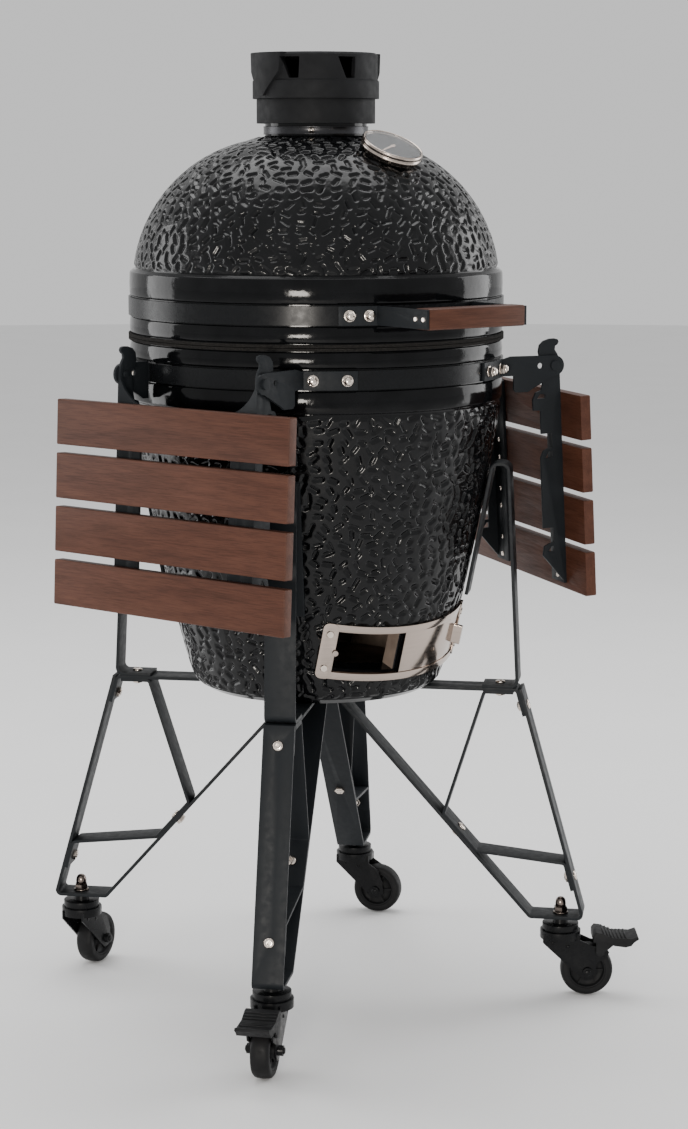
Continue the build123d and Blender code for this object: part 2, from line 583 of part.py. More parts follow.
def diagonal_z(rho, rise=0.0):
    """Height of the diagonal's lower face at a radius, raised square to it."""
    return FOOT_LOW_Z + (DIAGONAL_FOOT_RHO - rho) * DIAGONAL_RISE + rise / DIAGONAL_COS


def leg_bolt_planes(azimuth):
    """Seats and grips of one leg's bolts: knee tab, brace tab, flange stack and diagonal."""
    plane = upright(azimuth)
    seats = [((leg_rho(424), 424), (LEG_COS, LEG_COS * LEG_SLOPE), 2 * STRAP_T + 0.1),
             ((leg_rho(176), 176), (LEG_COS, LEG_COS * LEG_SLOPE), STRAP_T + BRACE_T + 0.1),
             ((264, BASE_FLOOR_Z + STRAP_T), (0, 1), 2 * STRAP_T + BRACE_T),
             ((210, diagonal_z(210, STRAP_T + BRACE_T)), (DIAGONAL_RISE * DIAGONAL_COS, DIAGONAL_COS),
              STRAP_T + BRACE_T)]
    found = []
    for (rho, z), (across, rise), grip in seats:
        normal = plane.x_dir * across + UP * rise
        tangent = plane.z_dir
        found.append((Plane(origin=plane.x_dir * rho + UP * z, x_dir=tangent, z_dir=normal), grip))
    return found


def drill_leg(azimuth):
    """Bolt and stem holes through one leg's straps."""
    drill([plane.offset(1) for plane, _ in leg_bolt_planes(azimuth)], STUD_R, 20)


with BuildPart() as leg_yokes:
    for azimuth in LEGS.values():
        strap(upright(azimuth), [(240, 450), (292, 450), (276, 770), (250, 770), (214, 583)], 7)
        drill_leg(azimuth)
save(leg_yokes, "leg_yokes")

for corner, azimuth in LEGS.items():
    with BuildPart() as leg_lower:
        face = [(DIAGONAL_TOP_RHO, diagonal_z(DIAGONAL_TOP_RHO)), (DIAGONAL_FOOT_RHO, FOOT_LOW_Z),
                (LEG_FOOT_RHO, FOOT_LOW_Z), (LEG_TOP_RHO, LEG_TOP_Z)]
        strap(upright(azimuth), face, 4)
        drill_leg(azimuth)
        drill([Plane(origin=out(azimuth) * CASTER_RHO + UP * 130)], 6 + FIT, 30)
    save(leg_lower, f"leg_lower_{corner}")

with BuildPart() as cradle_cross:
    for azimuth in LEGS.values():
        knee_depth = 2 * STRAP_T + 0.1
        face = [(0, CRADLE_LOW_Z), (leg_rho(CRADLE_LOW_Z, knee_depth), CRADLE_LOW_Z),
                (leg_rho(TAB_LOW_Z, knee_depth), TAB_LOW_Z)]
        strap(upright(azimuth), face, 3)
        drill_leg(azimuth)
    with BuildSketch(Plane.XY.offset(CRADLE_LOW_Z)):
        Circle(54)
    extrude(amount=-5)
save(cradle_cross, "cradle_cross")

with BuildPart() as leg_braces:
    for azimuth in LEGS.values():
        low_rho, high_rho = 233, 184
        knee_depth = STRAP_T + BRACE_T + 0.1
        face = [(284, CRADLE_LOW_Z), (241, CRADLE_LOW_Z), (high_rho, diagonal_z(high_rho, STRAP_T)),
                (low_rho, diagonal_z(low_rho, STRAP_T)), (leg_rho(BRACE_TAB[0], knee_depth), BRACE_TAB[0]),
                (leg_rho(BRACE_TAB[1], knee_depth), BRACE_TAB[1])]
        strap(upright(azimuth), face, 3, BRACE_T)
        drill_leg(azimuth)
save(leg_braces, "leg_braces")

with BuildPart() as leg_bolts:
    for azimuth in LEGS.values():
        for plane, grip in leg_bolt_planes(azimuth):
            through_bolt(plane, grip)
save(leg_bolts, "leg_bolts")

# ---- folding side tables: the right one is drawn, the left one mirrors it ----
TABLE_N = Vector(cos(radians(SPLAY)), -sin(radians(SPLAY)), 0)
TABLE_D = UP.cross(TABLE_N)
TABLE_S = TABLE_N * cos(radians(LEAN)) + UP * sin(radians(LEAN))
TABLE_H = UP * cos(radians(LEAN)) - TABLE_N * sin(radians(LEAN))
PIVOT = TABLE_N * PIVOT_N + UP * PIVOT_Z + TABLE_D * TABLE_CENTRE


def web_plane(along):
    """Plane across the table's length: local x outwards, local y up the hanging table."""
    return Plane(origin=PIVOT + TABLE_D * along, x_dir=TABLE_S, z_dir=TABLE_S.cross(TABLE_H))


def face_of_table(s):
    """Plane along the table at a distance outwards: local x along, local y up the hanging table."""
    return Plane(origin=PIVOT + TABLE_S * s, x_dir=TABLE_D, z_dir=TABLE_S)


SLAT_ROWS = [SLAT_TOP_H - SLAT_W / 2 - row * SLAT_PITCH for row in range(4)]
FLANGE_MIDDLES = (FRONT_WEB + FLANGE_W / 2, REAR_WEB - FLANGE_W / 2)
SCREW_ROWS = [h + step for h in SLAT_ROWS for step in (-SCREW_STEP, SCREW_STEP)]
SCREW_SPOTS = [(along, h) for along in FLANGE_MIDDLES for h in SCREW_ROWS]
SCREW_R = 2.0

# the bracket's web: horn over the pivot, then three tool hooks down its inner edge
WEB = [(-14, 2), (-20, 10), (-22, 20), (-20, 29), (-14, 34.5), (-5, 37), (3, 37), (7.5, 35.5), (9, 32),
       (7, 28.5), (3.4, 26.5), (2.6, 21.5), (6, 16), (8.3, 10), (9, 0), (9, BRACKET_LOW_H), (2.6, -303),
       (-25.5, -267), (-23, -254), (-14, -250), (-8.4, -250), (-8.4, -228), (-24, -228), (-24, -128),
       (-20, -119),
       (-14, -116), (-5.6, -116), (-5.6, -94.6), (-22, -94.6), (-22, -62), (-33, -61), (-33, -46),
       (-28, -36), (-20, -34), (-16, -20)]
HOOK_HOLES = [[(-27, -45), (-22, -39), (-14, -39), (-14, -45)],
              [(-17, -129), (-12, -120), (-6, -120), (-6, -129)],
              [(-18, -262), (-12, -254), (-9, -254), (-9, -262)]]
BRACKET_ENDS = [(FRONT_WEB + PLATE_T, FRONT_WEB + FLANGE_W), (REAR_WEB, REAR_WEB - FLANGE_W)]

with BuildPart() as right_brackets:
    for web_start, flange_far in BRACKET_ENDS:
        sheet(web_plane(web_start), WEB, PLATE_T)
        for hole in HOOK_HOLES:
            sheet(web_plane(web_start + 1), hole, PLATE_T + 2, Mode.SUBTRACT)
        drill([web_plane(web_start - PLATE_T - 1)], PIVOT_PIN_R + FIT, -10)
        drill([web_plane(web_start + 1)], PIVOT_PIN_R + FIT, -10)
        near = FRONT_WEB if flange_far < 0 else REAR_WEB
        with BuildSketch(face_of_table(SLAT_BACK_S - PLATE_T)):
            with BuildLine():
                bend = (near + (flange_far - near) * 0.34, -22)
                Line((near, 8), (near, BRACKET_LOW_H))
                Line((near, BRACKET_LOW_H), (flange_far, BRACKET_LOW_H))
                Line((flange_far, BRACKET_LOW_H), (flange_far, SLAT_TOP_H - 2))
                ThreePointArc((flange_far, SLAT_TOP_H - 2), bend, (near, 8))
            make_face()
            with Locations(*SCREW_SPOTS):
                Circle(SCREW_R + 0.1, mode=Mode.SUBTRACT)
        extrude(amount=PLATE_T)
save(right_brackets, "right_brackets")

with BuildPart() as right_slats:
    with BuildSketch(face_of_table(SLAT_BACK_S)):
        with Locations(*[(0, h) for h in SLAT_ROWS]):
            RectangleRounded(SLAT_L, SLAT_W, 2)
    extrude(amount=SLAT_T)
    chamfer(right_slats.faces().sort_by(Axis(PIVOT, TABLE_S))[-4:].edges(), length=1)
    with BuildSketch(face_of_table(SLAT_BACK_S)):
        with Locations(*SCREW_SPOTS):
            Circle(SCREW_R + 0.1)
    extrude(amount=10, mode=Mode.SUBTRACT)
save(right_slats, "right_slats")

with BuildPart() as right_table_screws:
    with BuildSketch(face_of_table(SLAT_BACK_S - PLATE_T)):
        with Locations(*SCREW_SPOTS):
            Circle(3.6)
    extrude(amount=-1.4, taper=20)
    with BuildSketch(face_of_table(SLAT_BACK_S - PLATE_T)):
        with Locations(*SCREW_SPOTS):
            Circle(SCREW_R)
    extrude(amount=PLATE_T + 9)
save(right_table_screws, "right_table_screws")

for right, name in ((right_brackets, "left_brackets"), (right_slats, "left_slats"),
                    (right_table_screws, "left_table_screws")):
    with BuildPart() as left:
        mirror(right.part, about=Plane.YZ)
    save(left, name)

# fixed arms from the lower band to the table pivots
ARM = [(215, 891), (215, 914), (232, 918), (PIVOT_N, 918), (PIVOT_N + 10, 895), (264.5, 872.5), (258, 868),
       (240, 868), (236.5, 872), (236.5, 891)]
ARM_GAP, PIN_HEAD_R, PIN_HEAD_T = 0.5, 4.6, 3.0
with BuildPart() as right_arms:
    for web, outer, azimuths in ((FRONT_WEB, -1, FRONT_ARM_AZ), (REAR_WEB, 1, REAR_ARM_AZ)):
        inner_face, outer_face = web + outer * ARM_GAP, web + outer * (ARM_GAP + PLATE_T)
        start = max(inner_face, outer_face)
        plane = Plane(origin=TABLE_D * (TABLE_CENTRE + start), x_dir=TABLE_N, z_dir=TABLE_N.cross(UP))
        root = sqrt((PLATE_R + 2) ** 2 - (TABLE_CENTRE + inner_face) ** 2)
        outline = [(max(n, root), z) for n, z in ARM]
        with BuildSketch(plane):
            with BuildLine():
                Polyline(*outline, close=True)
            make_face()
            with Locations((PIVOT_N, PIVOT_Z)):
                Circle(14)
            with Locations((PIVOT_N - 22, PIVOT_Z)):
                Circle(4, mode=Mode.SUBTRACT)
        extrude(amount=PLATE_T)
        band_plate(*azimuths, LOWER_BAND_Z, LOWER_BAND_Z + BAND_H)
        # riveted pivot pin: nut outside the arm, head inside the bracket's web
        hub = Plane(origin=PIVOT + TABLE_D * outer_face, x_dir=TABLE_N, z_dir=TABLE_D * outer)
        disc(hub, 7, PIN_HEAD_T + 1)
        head = 2 * ARM_GAP + 2 * PLATE_T
        disc(hub, PIVOT_PIN_R, -head - PIN_HEAD_T)
        disc(hub.offset(-head), PIN_HEAD_R, -PIN_HEAD_T)
    drill(LOWER_BOLTS[:8], STUD_R + 0.1, 20)

with BuildPart() as table_arms:
    add(right_arms.part)
    mirror(right_arms.part, about=Plane.YZ)
save(table_arms, "table_arms")

# ---- casters ----
FOOT_TOP_Z = FOOT_LOW_Z + STRAP_T
RACE_TOP_Z, COLLAR_Z, STEM_R = 96.0, 106.0, 6.0
PLATE_FORK = [(-26, 92), (-26, 80), (26, 31), (49, 31), (50, 50), (42, 70), (27, 80), (27, 92)]
BRAKE_FORK = [(-26, 92), (-26, 80), (26, 31), (49, 31), (52, 50), (66, 58), (69, 66), (65, 72), (44, 76),
              (27, 84), (27, 92)]
PEDAL_TOP = [(46, 82), (68, 81), (76, 77), (92, 75), (100, 77), (104, 82), (111, 87), (109, 90.5),
             (100, 87.5), (74, 88.5), (58, 95.5), (50, 96.5), (46, 92)]
PEDAL_CHEEK = [(50, 67), (56, 61), (62, 67), (80, 82), (50, 88)]

stem_feet = {corner: out(azimuth) * CASTER_RHO for corner, azimuth in LEGS.items()}

with BuildPart() as caster_stems:
    for foot in stem_feet.values():
        disc(Plane(origin=foot + UP * (RACE_TOP_Z + 0.4)), 26, COLLAR_Z - RACE_TOP_Z - 0.4)
        disc(Plane(origin=foot + UP * COLLAR_Z), 11, FOOT_LOW_Z - COLLAR_Z)
        disc(Plane(origin=foot + UP * (RACE_Z - 4)), STEM_R, 56)
        disc(Plane(origin=foot + UP * (RACE_Z - 0.4)), 10, -3.6)
save(caster_stems, "caster_stems")

with BuildPart() as acorn_nuts:
    for plane in LOWER_BOLTS:
        acorn_nut(plane, STUD)
    for foot in stem_feet.values():
        seat = Plane(origin=foot + UP * FOOT_TOP_Z)
        disc(seat, 11.5, 2)
        with BuildSketch(seat.offset(2)):
            RegularPolygon(9, 6, major_radius=False)
        extrude(amount=9)
        with BuildSketch(seat.offset(11)):
            Circle(8)
        extrude(amount=14, taper=14)
        disc(seat, STEM_R, 16.2, Mode.SUBTRACT)
save(acorn_nuts, "acorn_nuts")

for corner, foot in stem_feet.items():
    side_plane = upright(TRAILS[corner], foot)
    axle_plane = Plane(origin=foot + out(TRAILS[corner]) * TRAIL + UP * WHEEL_R, x_dir=out(TRAILS[corner]),
                       z_dir=side_plane.z_dir)
    braked = corner in BRAKED
    pivot_plane = Plane(origin=foot + out(TRAILS[corner]) * PEDAL_PIVOT[0] + UP * PEDAL_PIVOT[1],
                        x_dir=out(TRAILS[corner]), z_dir=side_plane.z_dir)

    with BuildPart() as caster_fork:
        disc(Plane(origin=foot + UP * RACE_Z), RACE_R, RACE_TOP_Z - RACE_Z)
        drill([Plane(origin=foot + UP * (RACE_TOP_Z + 1))], STEM_R + FIT, 20)
        for side in (-1, 1):
            with BuildSketch(side_plane.offset(side * FORK_GAP)):
                with BuildLine():
                    Polyline(*(BRAKE_FORK if braked else PLATE_FORK), close=True)
                make_face()
                with Locations((TRAIL, WHEEL_R)):
                    Circle(13)
                if braked:
                    with Locations(PEDAL_PIVOT):
                        Circle(3 + FIT, mode=Mode.SUBTRACT)
            extrude(amount=side * FORK_T)
            disc(axle_plane.offset(side * (FORK_GAP + FORK_T)), 7, side * 6.5)
        with BuildSketch(axle_plane):
            Circle(AXLE_R)
        extrude(amount=FORK_GAP + FORK_T, both=True)
    save(caster_fork, f"caster_fork_{corner}")

    with BuildPart() as wheel_tyre:
        with BuildSketch(axle_plane):
            Circle(WHEEL_R)
            Circle(HUB_R, mode=Mode.SUBTRACT)
        extrude(amount=TYRE_W / 2, both=True)
        fillet(wheel_tyre.edges().filter_by(GeomType.CIRCLE).group_by(SortBy.RADIUS)[-1], radius=5)
    save(wheel_tyre, f"wheel_tyre_{corner}")

    with BuildPart() as wheel_hub:
        with BuildSketch(axle_plane):
            Circle(HUB_R)
        extrude(amount=TYRE_W / 2 - 2, both=True)
        with BuildSketch(axle_plane):
            Circle(11)
        extrude(amount=FORK_GAP - 0.4, both=True)
        with BuildSketch(axle_plane):
            Circle(AXLE_R + FIT)
        extrude(amount=FORK_GAP + 5, both=True, mode=Mode.SUBTRACT)
    save(wheel_hub, f"wheel_hub_{corner}")

    if braked:
        with BuildPart() as brake_pedal:
            with BuildSketch(side_plane):
                with BuildLine():
                    Polyline(*PEDAL_TOP, close=True)
                make_face()
            extrude(amount=23, both=True)
            for side in (-1, 1):
                with BuildSketch(side_plane.offset(side * (FORK_GAP + FORK_T + 0.5))):
                    with BuildLine():
                        Polyline(*PEDAL_CHEEK, close=True)
                    make_face()
                    with Locations(PEDAL_PIVOT):
                        Circle(6)
                extrude(amount=side * 3)
                disc(pivot_plane.offset(side * FORK_GAP), 3, side * 4)
        save(brake_pedal, f"brake_pedal_{corner}")
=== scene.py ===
import json
import math

import bmesh
import bpy
import numpy as np
from mathutils import Matrix, Vector


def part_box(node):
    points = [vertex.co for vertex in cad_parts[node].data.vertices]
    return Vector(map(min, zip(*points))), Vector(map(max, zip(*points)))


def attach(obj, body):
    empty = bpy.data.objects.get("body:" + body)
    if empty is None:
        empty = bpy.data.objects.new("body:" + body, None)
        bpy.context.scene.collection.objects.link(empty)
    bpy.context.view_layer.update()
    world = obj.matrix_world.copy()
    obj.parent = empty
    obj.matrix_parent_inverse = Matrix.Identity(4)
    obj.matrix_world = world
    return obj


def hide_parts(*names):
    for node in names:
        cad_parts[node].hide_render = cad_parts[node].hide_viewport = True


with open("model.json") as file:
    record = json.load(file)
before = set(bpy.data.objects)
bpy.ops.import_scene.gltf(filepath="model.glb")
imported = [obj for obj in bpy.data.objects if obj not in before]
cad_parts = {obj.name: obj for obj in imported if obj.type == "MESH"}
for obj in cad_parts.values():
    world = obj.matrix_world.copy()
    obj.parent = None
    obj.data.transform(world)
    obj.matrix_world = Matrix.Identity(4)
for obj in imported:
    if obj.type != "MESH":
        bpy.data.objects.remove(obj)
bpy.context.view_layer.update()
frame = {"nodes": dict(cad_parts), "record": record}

nodes = frame["nodes"]
MM = 0.001

# The object stands on z 0 with its front towards -Y. An azimuth is measured from the front
# towards +X, in degrees. The ceramic sits turned by CERAMIC_TURN in its bands.
CERAMIC_TURN = 7.5
TABLE_SPLAY = 16.4


def out(azimuth):
    """Horizontal unit vector at an azimuth."""
    return Vector((math.sin(math.radians(azimuth)), -math.cos(math.radians(azimuth)), 0))


# ---- camera and lights ----
CAMERA_SPOT = (-2.015, -2.853, 1.1985)
CAMERA_HEADING, CAMERA_PITCH, CAMERA_LENS = 35.87, 9.46, 79.27
AIM = Vector((0, 0, 0.75))


def make_camera():
    data = bpy.data.cameras.new("camera")
    data.sensor_width = 36
    data.lens = CAMERA_LENS
    camera = bpy.data.objects.new("camera", data)
    camera.location = CAMERA_SPOT
    camera.rotation_euler = (math.radians(90 - CAMERA_PITCH), 0, math.radians(-CAMERA_HEADING))
    bpy.context.collection.objects.link(camera)
    bpy.context.scene.camera = camera


def softbox(name, azimuth, distance, height, width, tall, power, warmth=0.0, aim=AIM):
    """Area light at an azimuth that faces a spot: the object's middle where none is given."""
    data = bpy.data.lights.new(name, "AREA")
    data.shape = "RECTANGLE"
    data.size, data.size_y = width, tall
    data.energy = power
    data.color = (1.0, 1.0 - 0.06 * warmth, 1.0 - 0.14 * warmth)
    light = bpy.data.objects.new(name, data)
    light.location = out(azimuth) * distance + Vector((0, 0, height))
    light.rotation_euler = (aim - light.location).to_track_quat("-Z", "Y").to_euler()
    light.visible_camera = False
    bpy.context.collection.objects.link(light)


def make_studio():
    softbox("left_softbox", -143, 3.2, 1.2, 1.5, 2.4, 48)
    softbox("right_softbox", 78, 3.2, 1.2, 1.7, 2.4, 52)
    softbox("front_window", -44.5, 3.6, 0.72, 0.62, 0.5, 62, 1.0, Vector((0, 0, 0.95)))
    softbox("overhead_softbox", 155, 1.1, 4.4, 3.6, 2.8, 120, 0.0, Vector((0, 0, 1.1)))
    world = bpy.data.worlds.new("studio")
    world.use_nodes = True
    background = world.node_tree.nodes["Background"]
    background.inputs["Color"].default_value = (1.0, 1.0, 1.0, 1)
    background.inputs["Strength"].default_value = 0.78
    bpy.context.scene.world = world


# ---- procedural materials ----
class Recipe:
    """A node material: a Principled surface, with helpers that add texture nodes to it."""

    def __init__(self, name, color, roughness, metallic=0.0, specular=0.5):
        self.material = bpy.data.materials.new(name)
        self.material.use_nodes = True
        self.tree = self.material.node_tree
        self.surface = self.tree.nodes["Principled BSDF"]
        self.set("Base Color", (*color, 1))
        self.set("Roughness", roughness)
        self.set("Metallic", metallic)
        self.set("Specular IOR Level", specular)
        self.material.diffuse_color = (*color, 1)
        self.place = self.tree.nodes.new("ShaderNodeTexCoord").outputs["Object"]
        self.height = None

    def set(self, socket, value):
        self.surface.inputs[socket].default_value = value

    def link(self, source, target):
        self.tree.links.new(source, target)

    def node(self, kind, **settings):
        made = self.tree.nodes.new(kind)
        for key, value in settings.items():
            setattr(made, key, value)
        return made

    def mapped(self, scale=(1, 1, 1), turn=0.0):
        """Object coordinates turned about Z, then stretched."""
        turned = self.node("ShaderNodeMapping")
        turned.inputs["Rotation"].default_value = (0, 0, math.radians(turn))
        self.link(self.place, turned.inputs["Vector"])
        stretched = self.node("ShaderNodeMapping")
        stretched.inputs["Scale"].default_value = scale
        self.link(turned.outputs["Vector"], stretched.inputs["Vector"])
        return stretched.outputs["Vector"]

    def noise(self, scale, detail=3.0, rough=0.5, place=None, distortion=0.0):
        made = self.node("ShaderNodeTexNoise")
        made.inputs["Scale"].default_value = scale
        made.inputs["Detail"].default_value = detail
        made.inputs["Roughness"].default_value = rough
        made.inputs["Distortion"].default_value = distortion
        self.link(place or self.place, made.inputs["Vector"])
        return made.outputs["Fac"]

    def ramp(self, source, *stops):
        """Colour or grey from a factor: each stop is (place, colour or grey)."""
        made = self.node("ShaderNodeValToRGB")
        elements = made.color_ramp.elements
        while len(elements) < len(stops):
            elements.new(0.5)
        for element, (at, value) in zip(elements, stops):
            element.position = at
            element.color = (*value, 1) if hasattr(value, "__len__") else (value, value, value, 1)
        self.link(source, made.inputs["Fac"])
        return made.outputs["Color"]

    def mix(self, factor, a, b, blend="MIX"):
        made = self.node("ShaderNodeMix", data_type="RGBA", blend_type=blend)
        for value, socket in ((factor, made.inputs[0]), (a, made.inputs[6]), (b, made.inputs[7])):
            if hasattr(value, "is_linked"):
                self.link(value, socket)
            elif hasattr(value, "__len__"):
                socket.default_value = (*value, 1)
            else:
                socket.default_value = value
        return made.outputs[2]

    def bump(self, height, strength, distance):
        """Adds one layer of relief over those already there."""
        made = self.node("ShaderNodeBump")
        made.inputs["Strength"].default_value = strength
        made.inputs["Distance"].default_value = distance
        self.link(height, made.inputs["Height"])
        if self.height is not None:
            self.link(self.height, made.inputs["Normal"])
        self.height = made.outputs["Normal"]
        self.link(self.height, self.surface.inputs["Normal"])

    def color(self, source):
        self.link(source, self.surface.inputs["Base Color"])

    def roughness(self, source, low, high):
        """Roughness that varies with a factor between two values."""
        self.link(self.ramp(source, (0.3, low), (0.7, high)), self.surface.inputs["Roughness"])


def glaze(name, low, high, ripple, specular):
    """Black glaze; the ripple is the slow unevenness of a fired surface."""
    m = Recipe(name, (0.003, 0.0032, 0.0037), low, specular=specular)
    m.color(m.ramp(m.noise(28, 4), (0.35, (0.0018, 0.0020, 0.0024)), (0.7, (0.0042, 0.0045, 0.0052))))
    m.roughness(m.noise(60, 3), low, high)
    m.bump(m.noise(45, 2), ripple, 0.004)
    m.bump(m.noise(220, 2), 0.12, 0.0005)
    return m.material


def refractory():
    m = Recipe("refractory", (0.20, 0.15, 0.115), 0.9)
    m.color(m.ramp(m.noise(35, 6), (0.3, (0.15, 0.11, 0.085)), (0.7, (0.25, 0.19, 0.15))))
    m.bump(m.noise(350, 4), 0.4, 0.001)
    return m.material


def cast_iron():
    m = Recipe("cast_iron", (0.012, 0.0125, 0.0135), 0.62, specular=0.12)
    m.color(m.ramp(m.noise(40, 4), (0.3, (0.0095, 0.0098, 0.0108)), (0.7, (0.0135, 0.014, 0.0152))))
    m.roughness(m.noise(90), 0.52, 0.68)
    m.bump(m.noise(900, 3), 0.35, 0.0006)
    return m.material


def brushed(name, color, low, high, turn, stretch):
    """Steel with fine scratches along one direction."""
    m = Recipe(name, color, low, metallic=1.0)
    lines = m.noise(1, 4, 0.6, m.mapped(stretch, turn))
    m.roughness(lines, low, high)
    shade = tuple(0.86 * c for c in color)
    m.color(m.ramp(lines, (0.3, shade), (0.7, color)))
    m.bump(lines, 0.02, 0.0002)
    return m.material


def polished(name, color, low, high):
    """Bright fastener steel with faint handling marks."""
    m = Recipe(name, color, low, metallic=1.0)
    m.roughness(m.noise(220, 4), low, high)
    m.color(m.ramp(m.noise(90), (0.3, tuple(0.8 * c for c in color)), (0.7, color)))
    return m.material


def powder_coat(name, color, low, high, grain=0.12):
    m = Recipe(name, color, low, specular=0.16)
    lighter = tuple(1.22 * c for c in color)
    m.color(m.ramp(m.noise(18, 5), (0.3, color), (0.75, lighter)))
    m.roughness(m.noise(120, 3), low, high)
    m.bump(m.noise(1500, 2), grain, 0.0004)
    return m.material


def wood(name, turn, pitch=0.0):
    """Oiled hardwood with its grain along local X; each slat has its own tone."""
    m = Recipe(name, (0.088, 0.030, 0.0175), 0.5, specular=0.22)
    figure = m.noise(1, 5, 0.55, m.mapped((9, 75, 75), turn), 0.5)
    streaks = m.noise(1, 5, 0.7, m.mapped((34, 760, 760), turn))
    dark, middle, light = (0.058, 0.0200, 0.0108), (0.078, 0.0285, 0.0160), (0.098, 0.0375, 0.0225)
    base = m.ramp(figure, (0.3, dark), (0.5, middle), (0.72, light))
    fine = m.ramp(streaks, (0.36, (0.5, 0.46, 0.44)), (0.56, (1.0, 1.0, 1.0)))
    tone = m.mix(0.7, base, fine, "MULTIPLY")
    if pitch:
        apart = m.node("ShaderNodeSeparateXYZ")
        m.link(m.place, apart.inputs["Vector"])
        row = m.node("ShaderNodeMath", operation="DIVIDE")
        row.inputs[1].default_value = pitch
        m.link(apart.outputs["Z"], row.inputs[0])
        whole = m.node("ShaderNodeMath", operation="FLOOR")
        m.link(row.outputs[0], whole.inputs[0])
        chance = m.node("ShaderNodeTexWhiteNoise", noise_dimensions="1D")
        m.link(whole.outputs[0], chance.inputs["W"])
        tint = m.ramp(chance.outputs["Value"], (0.0, (0.9, 0.89, 0.88)), (1.0, (1.08, 1.07, 1.06)))
        tone = m.mix(1.0, tone, tint, "MULTIPLY")
    m.color(tone)
    m.roughness(streaks, 0.58, 0.42)
    m.bump(streaks, 0.22, 0.0005)
    m.bump(figure, 0.06, 0.001)
    return m.material


def rubber(name, color):
    m = Recipe(name, color, 0.55, specular=0.2)
    m.color(m.ramp(m.noise(30, 4), (0.3, color), (0.75, tuple(1.4 * c for c in color))))
    m.roughness(m.noise(160, 3), 0.46, 0.66)
    m.bump(m.noise(700, 2), 0.1, 0.0004)
    return m.material


def felt():
    m = Recipe("felt", (0.012, 0.0115, 0.011), 0.9, specular=0.12)
    m.color(m.ramp(m.noise(500, 4), (0.3, (0.006, 0.006, 0.006)), (0.7, (0.026, 0.024, 0.022))))
    m.bump(m.noise(1300, 3), 0.5, 0.0006)
    return m.material


def dial_paint():
    m = Recipe("dial", (0.05, 0.052, 0.056), 0.5, specular=0.1)
    m.color(m.ramp(m.noise(300, 3), (0.3, (0.040, 0.042, 0.046)), (0.7, (0.060, 0.062, 0.067))))
    m.bump(m.noise(2200, 2), 0.1, 0.0003)
    return m.material


def clear_glass():
    m = Recipe("glass", (0.98, 0.99, 1.0), 0.02, specular=0.3)
    m.set("Transmission Weight", 1.0)
    m.set("IOR", 1.45)
    m.roughness(m.noise(80, 2), 0.01, 0.03)
    return m.material


def floor_paint():
    m = Recipe("floor", (0.83, 0.83, 0.83), 0.85, specular=0.2)
    m.color(m.ramp(m.noise(3, 3), (0.3, 0.82), (0.7, 0.84)))
    return m.material


MATERIALS = {
    "glazed_ceramic": glaze("glazed_ceramic", 0.07, 0.13, 0.10, 0.16),
    "dimpled_glaze": glaze("dimpled_glaze", 0.15, 0.22, 0.35, 0.25),
    "refractory": refractory(),
    "cast_iron": cast_iron(),
    "stainless": brushed("stainless", (0.47, 0.395, 0.345), 0.10, 0.2, -CERAMIC_TURN, (6, 6, 700)),
    "fastener_steel": polished("fastener_steel", (0.80, 0.71, 0.63), 0.10, 0.26),
    "powder_coat": powder_coat("powder_coat", (0.0100, 0.0118, 0.0138), 0.42, 0.56),
    "band_paint": powder_coat("band_paint", (0.0055, 0.0060, 0.0068), 0.24, 0.32, 0.04),
    "felt": felt(),
    "wood_left": wood("wood_left", 90 - TABLE_SPLAY + 180, 0.0728),
    "wood_right": wood("wood_right", 90 + TABLE_SPLAY, 0.0728),
    "wood_handle": wood("wood_handle", 0.0),
    "gauge_steel": polished("gauge_steel", (0.50, 0.43, 0.38), 0.16, 0.30),
    "clamp_steel": polished("clamp_steel", (0.045, 0.045, 0.048), 0.25, 0.36),
    "foot_nut_steel": polished("foot_nut_steel", (0.20, 0.165, 0.145), 0.14, 0.28),
    "dial": dial_paint(),
    "needle": polished("needle_paint", (0.85, 0.66, 0.56), 0.3, 0.4),
    "glass": clear_glass(),
    "black_steel": powder_coat("black_steel", (0.0042, 0.0044, 0.0050), 0.22, 0.36, 0.05),
    "tyre": rubber("tyre", (0.0052, 0.0052, 0.0056)),
    "black_plastic": rubber("black_plastic", (0.0062, 0.0064, 0.0070)),
    "dial_marks": powder_coat("dial_marks", (0.16, 0.16, 0.165), 0.4, 0.5, 0.02),
    "floor": floor_paint(),
}

NODE_FINISH = {
    "lower_band": "band_paint", "upper_band": "band_paint", "handle_bar": "wood_handle",
    "left_slats": "wood_left", "right_slats": "wood_right",
}


def finish_of(node):
    """Material of a CAD node: its own finish, or its record slot's."""
    slots = {part["node"]: part["material_slot"] for part in frame["record"]["subparts"]}
    return MATERIALS[NODE_FINISH.get(node, slots[node])]


def paint_nodes():
    for name, obj in nodes.items():
        obj.data.materials.clear()
        obj.data.materials.append(finish_of(name))


# ---- mesh helpers ----
def body_of_node(node):
    return next(body for body, names in frame["record"]["behaviour"]["bodies"].items() if node in names)


def place(mesh, name, body, material, replaced=()):
    """Makes a visible piece of a mesh, on its body, with its material and the CAD nodes it replaces."""
    mesh.materials.clear()
    mesh.materials.append(MATERIALS[material] if isinstance(material, str) else material)
    obj = bpy.data.objects.new(name, mesh)
    bpy.context.collection.objects.link(obj)
    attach(obj, body)
    if replaced:
        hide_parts(*replaced)


